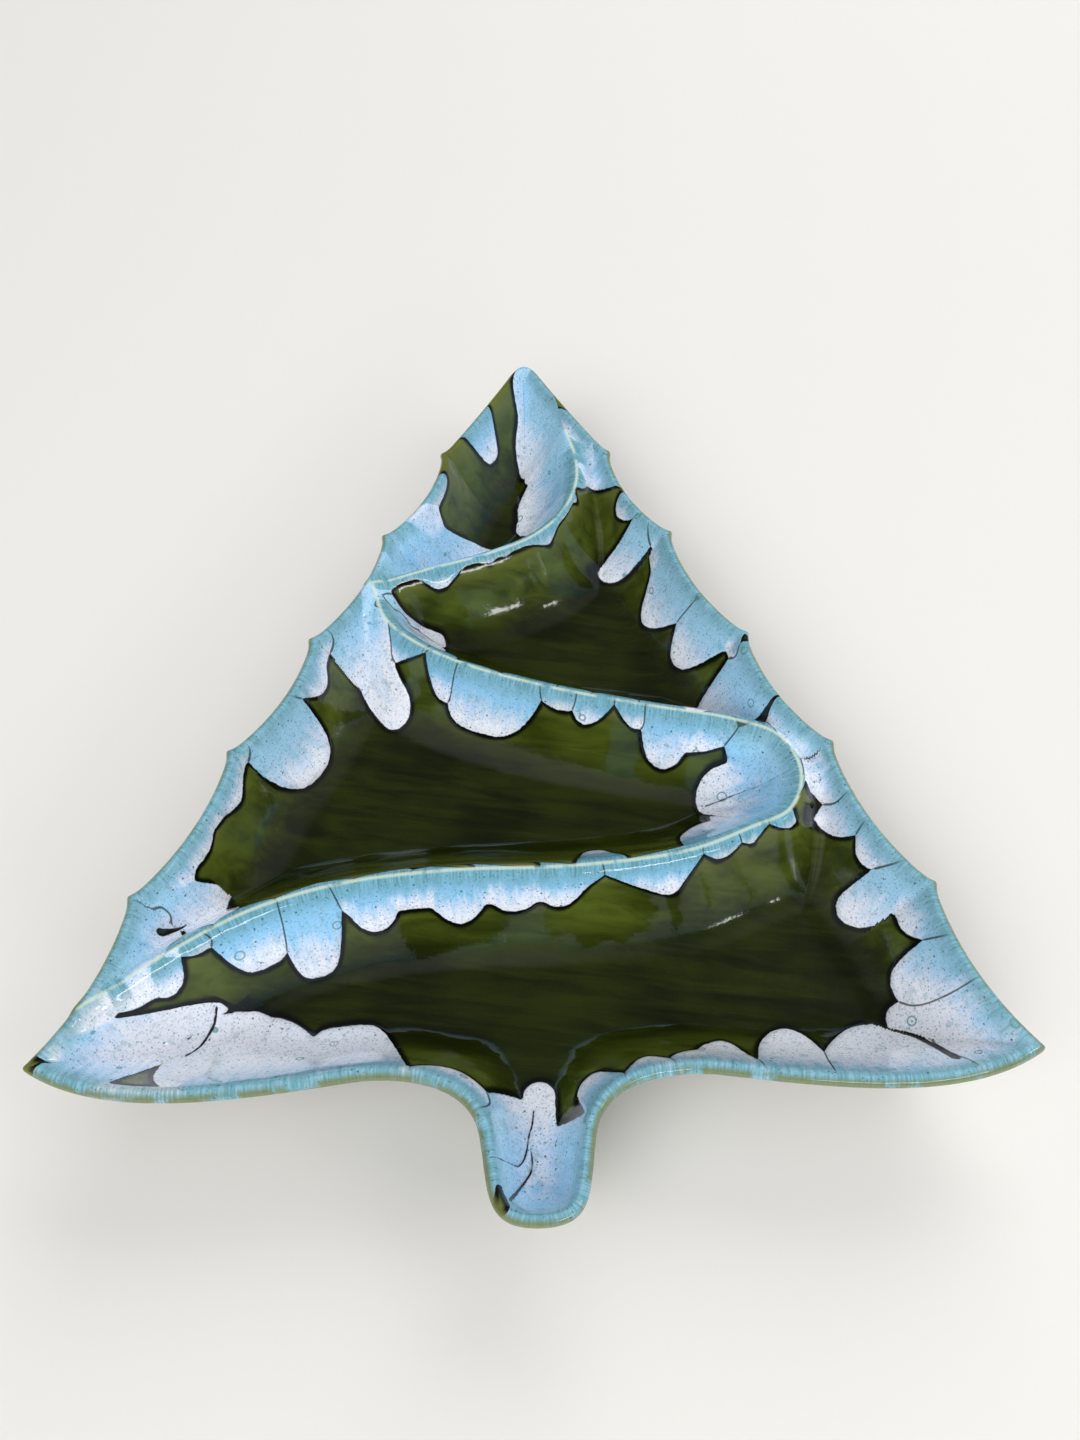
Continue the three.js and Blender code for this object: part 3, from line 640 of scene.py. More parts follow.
@dataclass
class Overglaze:
    """The pale glaze that was poured on the rim and the crests and ran down."""

    drips: dict[Face, tuple[Drip, ...]] = field(default_factory=lambda: DRIPS)
    trails: tuple[Trail, ...] = TRAILS
    cracks: tuple[Trail, ...] = CRACKS
    melt: float = 0.6
    thickness: float = 0.75
    swell: float = 0.45
    bead: float = 2.4
    crest_thin: float = 8.0
    trail_flow: float = 0.5
    trail_fall: float = 20.0
    outside_seed: int = 7
    outside_count: int = 80
    outside_half: tuple[float, float] = (6, 10)
    outside_run: tuple[float, float] = (5, 19)
    outside_pitch: float = 0.97
    outside_taper: float = 0.75

    def outside_drips(self, length: float) -> tuple[Drip, ...]:
        """Spaces short drips along the outer side of a rim, with seeded widths and lengths.

        Args:
            length: the rim's length.

        Returns:
            The drips.
        """
        draw = np.random.default_rng(self.outside_seed)
        half = draw.uniform(*self.outside_half, self.outside_count)
        at = np.cumsum(2 * half * self.outside_pitch) - half
        run = draw.uniform(*self.outside_run, self.outside_count)
        return tuple(Drip(float(a), float(r), float(h), float(h * self.outside_taper), 0.0, Lap(k % 2))
                     for k, (a, r, h) in enumerate(zip(at, run, half)) if a < length)

    def cover(self, xy: Array, along: dict[Face, Array], down: dict[Face, Array], on: dict[Face, Array],
              drips: dict[Face, tuple[Drip, ...]], trails: tuple[Trail, ...]) -> Coat:
        """Melts the drips of each lap together, as the logarithm of the sum of their exponentials, and parts them
        along the cracks.

        Args:
            xy: plan points.
            along: length along each face's edge.
            down: length down each face.
            on: which points lie on each face.
            drips: the drips of each face.
            trails: the trails in plan.

        Returns:
            The coat at each point.
        """
        total = np.full((2, len(xy)), np.exp(FAR / self.melt))
        weight = np.full(len(xy), 1e-12)
        flow = np.zeros(len(xy))
        best = np.full(len(xy), FAR)
        streak = np.zeros((2, len(xy)))

        def add(rows: Array, depth: Array, share: Array, lap: Lap, s: Array, t: Array) -> None:
            """Adds one drip's depth to the points that it can reach."""
            heat = np.exp(depth / self.melt)
            total[lap.value, rows] += heat
            weight[rows] += heat
            flow[rows] += heat * share
            new = depth > best[rows]
            best[rows[new]] = depth[new]
            streak[0, rows[new]] = s[new]
            streak[1, rows[new]] = t[new]

        for face, row in drips.items():
            for drip in row:
                spread = drip.root + abs(drip.lean) + SIDE_REACH
                near = on[face] & (np.abs(along[face] - drip.at) < spread) & (down[face] < drip.length + END_REACH)
                rows = np.nonzero(near)[0]
                s, t = along[face][rows], down[face][rows]
                add(rows, *drip.reach(s, t), drip.lap, s, t)
        everywhere = np.arange(len(xy))
        for trail in trails:
            depth, share, run = trail.reach(xy)
            rows = everywhere[depth > -END_REACH]
            share = self.trail_flow + (1 - self.trail_flow) * share
            add(rows, depth[rows], share[rows], trail.lap, depth[rows], run[rows] + self.trail_fall)
        depth = np.maximum(self.melt * np.log(total), FAR)
        apart = depth[0] - depth[1]
        for crack in self.cracks if trails else ():
            depth = np.minimum(depth, -crack.reach(xy)[0])
        return Coat(depth[0], depth[1], apart, flow / weight, streak[0], streak[1])

    def raised(self, coat: Coat, place: Place) -> Array:
        """Gives the coat's thickness: a quarter-round bead at its edge, fuller where it has run, thin on the crests.

        Args:
            coat: the overglaze at each point.
            place: where the points lie.

        Returns:
            The thickness in millimetres.
        """
        into = np.clip(coat.inside / self.bead, 0, 1)
        bead = np.sqrt(1 - (1 - into) ** 2)
        crest = np.clip(np.minimum(place.crest, place.rim) / self.crest_thin, 0, 1)
        return bead * (self.thickness + self.swell * np.clip(coat.flow, 0, 1)) * crest**2 * (3 - 2 * crest)


@dataclass
class Blank:
    """A mesh before it goes into Blender: points, triangles, normals, and what the finish reads at each point."""

    points: Array
    faces: Array
    normals: Array
    values: dict[str, Array]
    streaks: Array

    def mesh(self, name: str) -> bpy.types.Object:
        """Puts the arrays into a mesh object at the origin.

        Args:
            name: the piece's name.

        Returns:
            The new object.
        """
        mesh = bpy.data.meshes.new(name)
        mesh.vertices.add(len(self.points))
        mesh.vertices.foreach_set("co", (self.points * MM).astype(np.float32).ravel())
        mesh.loops.add(self.faces.size)
        mesh.loops.foreach_set("vertex_index", self.faces.astype(np.int32).ravel())
        mesh.polygons.add(len(self.faces))
        mesh.polygons.foreach_set("loop_start", np.arange(0, self.faces.size, 3, dtype=np.int32))
        mesh.polygons.foreach_set("use_smooth", np.ones(len(self.faces), bool))
        mesh.update(calc_edges=True)
        for label, value in self.values.items():
            layer = mesh.attributes.new(label, "FLOAT", "POINT")
            layer.data.foreach_set("value", value.astype(np.float32))
        chart = mesh.uv_layers.new(name="streaks")
        chart.data.foreach_set("uv", self.streaks[self.faces.ravel()].astype(np.float32).ravel())
        mesh.validate()
        mesh.normals_split_custom_set_from_vertices(self.normals.astype(np.float32))
        piece = bpy.data.objects.new(name, mesh)
        bpy.context.scene.collection.objects.link(piece)
        return piece


def vertex_normals(points: Array, faces: Array) -> Array:
    """Averages the normals of the triangles round each point, weighted by their area.

    Args:
        points: the mesh's points.
        faces: its triangles.

    Returns:
        One unit normal for each point.
    """
    a, b, c = (points[faces[:, k]] for k in range(3))
    flat = np.cross(b - a, c - a)
    corner = faces.T.ravel()
    total = np.stack([np.bincount(corner, np.tile(flat[:, k], 3), len(points)) for k in range(3)], 1)
    return total / np.maximum(np.linalg.norm(total, axis=1, keepdims=True), 1e-12)


def weld(points: Array, faces: Array) -> tuple[Array, Array, Array]:
    """Makes points at one place a single point, and drops the triangles that this closes.

    Args:
        points: the mesh's points.
        faces: its triangles.

    Returns:
        Which points are kept, the new number of each old point, and the triangles with the new numbers.
    """
    key = np.round(points * WELD).astype(np.int64)
    _, kept, number = np.unique(key, axis=0, return_index=True, return_inverse=True)
    number = number.ravel()
    joined = number[faces]
    whole = (joined[:, 0] != joined[:, 1]) & (joined[:, 1] != joined[:, 2]) & (joined[:, 2] != joined[:, 0])
    return kept, number, joined[whole]


def resample(line: Array, share: Array) -> Array:
    """Picks points along a row of points by their share of its length.

    Args:
        line: plan points.
        share: shares from 0 to 1.

    Returns:
        One plan point for each share.
    """
    run = np.concatenate([[0], np.cumsum(np.hypot(*np.diff(line, axis=0).T))])
    return np.stack([np.interp(share * run[-1], run, line[:, k]) for k in (0, 1)], 1)


def closer_at_ends(count: int, length: float, extra: float = 2.5, reach: float = 3.0, samples: int = 4000) -> Array:
    """Spaces shares from 0 to 1 with a density that rises exponentially towards both ends.

    Args:
        count: how many steps.
        length: the length they cover, in millimetres.
        extra: how much denser the ends are than the middle.
        reach: how far in from an end the density falls off.
        samples: how finely the density is added up.

    Returns:
        The shares, one more than the steps.
    """
    x = np.linspace(0, length, samples)
    density = 1 + extra * (np.exp(-x / reach) + np.exp((x - length) / reach))
    run = np.concatenate([[0], np.cumsum((density[1:] + density[:-1]) / 2)])
    return np.interp(np.linspace(0, run[-1], count + 1), run, x / length)


def coons(sides: tuple[Array, Array, Array, Array], u: Array, v: Array) -> Array:
    """Fills four plan lines: the two rulings added, less the straight-sided patch of the corners.

    Args:
        sides: the near, far, left and right lines.
        u: shares from left to right.
        v: shares from near to far.

    Returns:
        A grid of plan points, one row for each v.
    """
    near, far = resample(sides[0], u)[None], resample(sides[1], u)[None]
    left, right = resample(sides[2], v)[:, None], resample(sides[3], v)[:, None]
    u, v = u[None, :, None], v[:, None, None]
    corners = (1 - v) * ((1 - u) * near[:, :1] + u * near[:, -1:]) + v * ((1 - u) * far[:, :1] + u * far[:, -1:])
    return (1 - v) * near + v * far + (1 - u) * left + u * right - corners


def unfold(plan: Array, rounds: int = 200, least: float = 1e-3, closed: float = 1e-6) -> Array:
    """Smooths a plan grid where its cells overlap: points near a cell of no area move to their neighbours' mean.

    Args:
        plan: a grid of plan points.
        rounds: the most rounds of smoothing.
        least: the area below which a cell counts as overlapping.
        closed: the length below which a cell's side is a closed pole, which stays.

    Returns:
        The grid, with its borders as they were.
    """
    plan = plan.copy()
    for _ in range(rounds):
        east, north = plan[:-1, 1:] - plan[:-1, :-1], plan[1:, :-1] - plan[:-1, :-1]
        bad = east[..., 0] * north[..., 1] - east[..., 1] * north[..., 0] < least
        bad &= (np.abs(east).sum(2) > closed) & (np.abs(north).sum(2) > closed)
        if not bad.any():
            break
        near = np.zeros(plan.shape[:2], bool)
        for i, j in ((0, 0), (0, 1), (1, 0), (1, 1)):
            near[i:plan.shape[0] - 1 + i, j:plan.shape[1] - 1 + j] |= bad
        wide = near.copy()
        for shift in (1, 2, 3):
            for axis in (0, 1):
                wide |= np.roll(near, shift, axis) | np.roll(near, -shift, axis)
        wide[[0, -1]] = wide[:, [0, -1]] = False
        mean = (np.roll(plan, 1, 0) + np.roll(plan, -1, 0) + np.roll(plan, 1, 1) + np.roll(plan, -1, 1)) / 4
        plan[wide] = mean[wide]
    return plan


def true_distance(plan: Array, field_values: Array, level: float = 0.05) -> Array:
    """Turns a field over a plan grid into the distance from where it is nought: the field over its own slope.

    Args:
        plan: a grid of plan points.
        field_values: the field at each point, one after another.
        level: the least slope that is counted.

    Returns:
        The distance, signed as the field is.
    """
    grid = field_values.reshape(plan.shape[:2])
    east, north = np.gradient(plan, axis=1), np.gradient(plan, axis=0)
    along, across = np.gradient(grid, axis=1), np.gradient(grid, axis=0)
    cell = np.abs(east[..., 0] * north[..., 1] - east[..., 1] * north[..., 0]) + 1e-9
    slope = np.hypot(north[..., 1] * along - east[..., 1] * across,
                     east[..., 0] * across - north[..., 0] * along) / cell
    return np.clip(grid / np.maximum(slope, level), FAR, -FAR).ravel()


def grid_faces(rows: int, columns: int, start: int = 0) -> Array:
    """Lists the triangles of a grid, facing up.

    Args:
        rows: rows of points.
        columns: points in a row.
        start: the number of the first point.

    Returns:
        The triangles.
    """
    at = start + np.arange(rows * columns).reshape(rows, columns)
    a, b, c, d = at[:-1, :-1].ravel(), at[:-1, 1:].ravel(), at[1:, 1:].ravel(), at[1:, :-1].ravel()
    return np.vstack([np.stack([a, b, c], 1), np.stack([a, c, d], 1)])


def skirt_faces(fine: Array, coarse: Array, ratio: int) -> Array:
    """Closes the side between a fine border and a coarse one: a fan from each coarse point, then its next point.

    Args:
        fine: point numbers along the upper border, with the solid on the left hand.
        coarse: point numbers along the lower border.
        ratio: fine steps to one coarse step.

    Returns:
        The triangles, facing out.
    """
    steps = np.arange(len(fine) - 1)
    fans = np.stack([coarse[steps // ratio], fine[steps + 1], fine[steps]], 1)
    joins = np.stack([coarse[:-1], coarse[1:], fine[ratio::ratio]], 1)
    return np.vstack([fans, joins])


@dataclass
class Well:
    """A block of the casting between crests and rims: a glazed upper side, a lower side, and its closed border."""

    name: str
    sides: tuple[Array, Array, Array, Array]
    counts: tuple[int, int]
    nodes: tuple[str, ...]
    ratio: int = 4
    rim_gap: float = 0.6

    def upper(self, form: TrayForm, glaze: Overglaze, xy: Array) -> tuple[Array, Coat, Place]:
        """Lays the upper side and raises the overglaze on it.

        Args:
            form: the casting.
            glaze: the overglaze.
            xy: plan points.

        Returns:
            The points in space, the coat and the place.
        """
        place = form.look(xy)
        coat = glaze.cover(xy, place.along, place.down, place.on, glaze.drips, glaze.trails)
        return np.column_stack([xy, place.height + glaze.raised(coat, place)]), coat, place

    def lower(self, form: TrayForm, glaze: Overglaze, xy: Array) -> tuple[Array, Coat, Place]:
        """Lays the lower side, with short drips down the outside of the rim.

        Args:
            form: the casting.
            glaze: the overglaze.
            xy: plan points.

        Returns:
            The points in space, the coat and the place.
        """
        low, place = form.underside(xy)
        run = np.where(xy[:, 0] > 0, place.along[Face.RIGHT_RIM], place.along[Face.LEFT_RIM])
        fall = np.hypot(place.rim, form.rim_height - form.lip - low)
        whole = np.ones(len(low), bool)
        face, drips = Face.OUTSIDE, glaze.outside_drips(form.right_rim.length)
        coat = glaze.cover(xy, {face: run}, {face: fall}, {face: whole}, {face: drips}, ())
        return np.column_stack([xy, low]), coat, place

    def border_normals(self, form: TrayForm, glaze: Overglaze, xy: Array, reach: float = 0.25) -> Array:
        """Measures the glazed upper side's normals by small steps across, so that blocks meet without a crease.

        Args:
            form: the casting.
            glaze: the overglaze.
            xy: plan points on the border.
            reach: the length of the step.

        Returns:
            Unit normals.
        """
        east, north = np.array([reach, 0]), np.array([0, reach])
        tilt = [self.upper(form, glaze, xy - step)[0][:, 2] - self.upper(form, glaze, xy + step)[0][:, 2]
                for step in (east, north)]
        normal = np.column_stack([*tilt, np.full(len(xy), 2 * reach)])
        return normal / np.linalg.norm(normal, axis=1, keepdims=True)

    def build(self, form: TrayForm, glaze: Overglaze) -> Blank:
        """Makes the block: a fine grid above, a coarse grid below, and skirts along the four borders.

        Args:
            form: the casting.
            glaze: the overglaze.

        Returns:
            The block, with doubled points merged.
        """
        lengths = [np.hypot(*np.diff(s, axis=0).T).sum() for s in self.sides]
        u = closer_at_ends(self.counts[0], max(lengths[:2]))
        v = closer_at_ends(self.counts[1], max(lengths[2:]))
        plan = unfold(coons(self.sides, u, v))
        rows, columns = plan.shape[:2]
        top, coat, place = self.upper(form, glaze, plan.reshape(-1, 2))
        lower_plan = plan[::self.ratio, ::self.ratio]
        lower_rows, lower_columns = lower_plan.shape[:2]
        bottom, back, under = self.lower(form, glaze, lower_plan.reshape(-1, 2))
        start = rows * columns
        fine = np.arange(start).reshape(rows, columns)
        coarse = start + np.arange(lower_rows * lower_columns).reshape(lower_rows, lower_columns)
        borders = [(fine[0], coarse[0]), (fine[:, -1], coarse[:, -1]),
                   (fine[-1, ::-1], coarse[-1, ::-1]), (fine[::-1, 0], coarse[::-1, 0])]
        faces = np.vstack([grid_faces(rows, columns), grid_faces(lower_rows, lower_columns, start)[:, ::-1]]
                          + [skirt_faces(a, b, self.ratio) for a, b in borders])
        points = np.vstack([top, bottom])
        edge = np.unique(np.concatenate([a for a, _ in borders]))
        values = {
            "under": np.concatenate([coat.under, back.under]),
            "over": np.concatenate([coat.over, back.over]),
            "apart": np.concatenate([true_distance(plan, coat.apart), back.apart]),
            "flow": np.concatenate([coat.flow, back.flow]),
            "crest": np.concatenate([place.crest, np.full(len(bottom), NO_CREST)]),
            "lip": np.concatenate([place.rim, under.rim]),
            "rise": np.concatenate([place.height, bottom[:, 2]]) - form.floor_height,
        }
        streaks = np.concatenate([np.stack([c.along, c.down], 1) for c in (coat, back)]) / CHART
        kept, number, joined = weld(points, faces)
        points = points[kept]
        normals = vertex_normals(points, joined)
        seam = edge[place.rim[edge] > self.rim_gap]
        normals[number[seam]] = self.border_normals(form, glaze, top[seam, :2])
        return Blank(points, joined, normals, {k: v[kept] for k, v in values.items()}, streaks[kept])

    def dress(self, piece: bpy.types.Object, finish: "Finish") -> None:
        """Glazes the block, and puts it in the frame for its nodes.

        Args:
            piece: the block's object.
            finish: the glaze.
        """
        piece.data.materials.append(finish.material())
        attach(piece, "root")
        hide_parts(*self.nodes)


@dataclass
class Foot:
    """A bar of bare clay under a floor, with rounded ends and a worn lower edge."""

    name: str
    line: tuple[float, float, float, float]
    width: float = 8.0
    height: float = 3.5
    wear: float = 0.9
    turns: int = 96
    worn_steps: int = 7
    straight: float = 0.6

    def build(self) -> Blank:
        """Carries a worn profile round a bar with half-round ends.

        Returns:
            The closed bar.
        """
        start, end = np.array(self.line[:2]), np.array(self.line[2:])
        axis = (end - start) / np.hypot(*(end - start))
        turn = np.linspace(0, 2 * np.pi, self.turns + 1)[:-1]
        round_out = np.stack([np.cos(turn), np.sin(turn)], 1)
        centre = np.where((round_out @ axis > 0)[:, None], end - axis * self.width / 2, start + axis * self.width / 2)
        angle = np.linspace(0, np.pi / 2, self.worn_steps)
        half = self.width / 2
        out = np.concatenate([[0, 0.5 * half], half - self.wear * (1 - np.sin(angle)), [half, half, 0.5 * half, 0]])
        side = [self.height * self.straight] + [self.height] * 3
        level = np.concatenate([[0, 0], self.wear * (1 - np.cos(angle)), side])
        ring = centre[None] + round_out[None] * out[:, None, None]
        points = np.concatenate([ring, np.broadcast_to(level[:, None, None], ring.shape[:2] + (1,))], 2)
        rows, columns = points.shape[:2]
        at = np.arange(rows * columns).reshape(rows, columns)
        beside = np.roll(at, -1, axis=1)
        a, b, c, d = at[:-1].ravel(), beside[:-1].ravel(), beside[1:].ravel(), at[1:].ravel()
        faces = np.vstack([np.stack([a, b, c], 1), np.stack([a, c, d], 1)])
        flat = points.reshape(-1, 3)
        kept, _, joined = weld(flat, faces)
        flat = flat[kept]
        return Blank(flat, joined, vertex_normals(flat, joined), {}, flat[:, :2] / CHART)

    def dress(self, piece: bpy.types.Object, finish: "Finish") -> None:
        """Leaves the clay bare, and puts the bar in the frame for its node.

        Args:
            piece: the bar's object.
            finish: the bare clay.
        """
        piece.data.materials.append(finish.material())
        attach(piece, "root")
        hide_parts(self.name.replace("_bar", ""))


Socket = bpy.types.NodeSocket
Colour = tuple[float, float, float]
Spot = tuple[float, float, float]


def linear(colour: Colour) -> tuple[float, float, float, float]:
    """Turns a colour as seen on a screen, 0 to 255, into the renderer's linear one.

    Args:
        colour: red, green and blue from 0 to 255.

    Returns:
        Linear red, green and blue, and 1 for solid.
    """
    c = np.asarray(colour, float) / 255
    return (*np.where(c <= 0.04045, c / 12.92, ((c + 0.055) / 1.055) ** 2.4).tolist(), 1.0)


@dataclass
class Bench:
    """Lays out shader nodes and joins their sockets."""

    tree: bpy.types.NodeTree

    def node(self, kind: str, inputs: dict, **settings: object) -> bpy.types.Node:
        """Adds one node.

        Args:
            kind: the node's type.
            inputs: a socket to join, or a value to set, for each input.
            settings: the node's own choices.

        Returns:
            The node.
        """
        node = self.tree.nodes.new(kind)
        for label, value in settings.items():
            setattr(node, label, value)
        for label, value in inputs.items():
            if isinstance(value, Socket):
                self.tree.links.new(value, node.inputs[label])
            else:
                node.inputs[label].default_value = value
        return node

    def math(self, operation: str, *values: object) -> Socket:
        """Joins values with one arithmetic operation.

        Args:
            operation: the Math node's operation.
            values: its inputs in order.

        Returns:
            The result.
        """
        return self.node("ShaderNodeMath", dict(enumerate(values)), operation=operation).outputs[0]

    def ease(self, value: Socket, low: float, high: float) -> Socket:
        """Eases a value from 0 at low to 1 at high.

        Args:
            value: what is measured.
            low: where the ease starts.
            high: where it ends; below low it runs the other way.

        Returns:
            The eased share.
        """
        ends = {"From Min": min(low, high), "From Max": max(low, high),
                "To Min": 0.0 if low < high else 1.0, "To Max": 1.0 if low < high else 0.0}
        return self.node("ShaderNodeMapRange", {"Value": value, **ends}, interpolation_type="SMOOTHSTEP").outputs[0]

    def mix(self, share: Socket | float, first: object, second: object) -> Socket:
        """Mixes two colours.

        Args:
            share: how much of the second.
            first: the colour at 0.
            second: the colour at 1.

        Returns:
            The mixed colour.
        """
        node = self.node("ShaderNodeMix", {0: share, 6: first, 7: second}, data_type="RGBA")
        return node.outputs[2]

    def value(self, name: str) -> Socket:
        """Reads a number that the mesh holds at each point."""
        return self.node("ShaderNodeAttribute", {}, attribute_name=name).outputs["Fac"]

    def place(self, size: Colour, turn: float = 0.0) -> Socket:
        """Gives the object's own coordinates, with one step for each pattern size in millimetres.

        Args:
            size: the pattern's size along each axis.
            turn: the turn about the upright, in degrees.

        Returns:
            The coordinates.
        """
        axes = self.node("ShaderNodeTexCoord", {}).outputs["Object"]
        turned = self.node("ShaderNodeMapping", {"Vector": axes, "Rotation": (0, 0, np.radians(turn))})
        scale = tuple(1 / (s * MM) for s in size)
        return self.node("ShaderNodeMapping", {"Vector": turned.outputs[0], "Scale": scale}).outputs[0]

    def streak(self, across: float, down: float) -> Socket:
        """Gives coordinates along and down the drips, one step for each size in millimetres.

        Args:
            across: pattern size along the edge.
            down: pattern size down the slope.

        Returns:
            The coordinates.
        """
        chart = self.node("ShaderNodeUVMap", {}, uv_map="streaks").outputs[0]
        return self.node("ShaderNodeMapping", {"Vector": chart, "Scale": (CHART / across, CHART / down, 1)}).outputs[0]

    def noise(self, at: Socket, detail: float = 3.0, rough: float = 0.5, warp: float = 0.0) -> Socket:
        """Reads cloudy noise at unit scale.

        Args:
            at: the coordinates.
            detail: how many finer layers.
            rough: how strong they are.
            warp: how far the pattern is pulled about.

        Returns:
            The noise, from 0 to 1.
        """
        inputs = {"Vector": at, "Scale": 1.0, "Detail": detail, "Roughness": rough, "Distortion": warp}
        return self.node("ShaderNodeTexNoise", inputs).outputs["Fac"]

    def cells(self, size: float) -> tuple[Socket, list[Socket]]:
        """Strews cells over the object.

        Args:
            size: their pitch in millimetres.

        Returns:
            The distance from the nearest cell's middle, and that cell's own three chance numbers.
        """
        dots = self.node("ShaderNodeTexVoronoi", {"Vector": self.place((size, size, size)), "Scale": 1.0})
        chance = self.node("ShaderNodeSeparateColor", {"Color": dots.outputs["Color"]})
        return dots.outputs["Distance"], list(chance.outputs)

    def feed(self, shader: bpy.types.Node, colour: Socket, dull: Socket, height: Socket, relief: float,
             strength: float) -> None:
        """Joins a finish to the surface shader.

        Args:
            shader: the surface shader.
            colour: its colour.
            dull: its roughness.
            height: the height of its fine relief, from 0 to 1.
            relief: that relief in metres.
            strength: how much the relief turns the light.
        """
        bump = self.node("ShaderNodeBump", {"Height": height, "Distance": relief, "Strength": strength})
        for value, label in ((colour, "Base Color"), (dull, "Roughness"), (bump.outputs[0], "Normal")):
            self.tree.links.new(value, shader.inputs[label])

    def times(self, first: object, *others: object) -> Socket:
        """Multiplies values, one after another."""
        for other in others:
            first = self.math("MULTIPLY", first, other)
        return first

    def plus(self, first: object, *others: object) -> Socket:
        """Adds values, one after another."""
        for other in others:
            first = self.math("ADD", first, other)
        return first

    def swing(self, noise: Socket, width: float) -> Socket:
        """Sets a noise's middle to nought and its whole width as given."""
        return self.times(self.math("SUBTRACT", noise, 0.5), width)

    def tint(self, colour: object, tone: Colour, share: Socket, strength: float = 1.0) -> Socket:
        """Lays a tone over a colour.

        Args:
            colour: the colour below.
            tone: the tone, as seen on a screen.
            share: where it covers.
            strength: how much of it, where it covers in full.

        Returns:
            The mixed colour.
        """
        return self.mix(share if strength == 1.0 else self.times(share, strength), colour, linear(tone))


@dataclass(frozen=True)
class Finish:
    """A surface finish: its name, the record's slot, and its material, made once."""

    name: str
    slot: str

    def material(self) -> bpy.types.Material:
        """Gives the material, and makes it the first time.

        Returns:
            The material.
        """
        known = bpy.data.materials.get(self.name)
        if known is not None:
            return known
        material = bpy.data.materials.new(self.name)
        material.use_nodes = True
        tree = material.node_tree
        self.lay(Bench(tree), tree.nodes["Principled BSDF"])
        return material

    def lay(self, bench: Bench, shader: bpy.types.Node) -> None:
        """Lays the finish's nodes.

        Args:
            bench: where the nodes are laid.
            shader: the surface shader they feed.
        """
        raise NotImplementedError


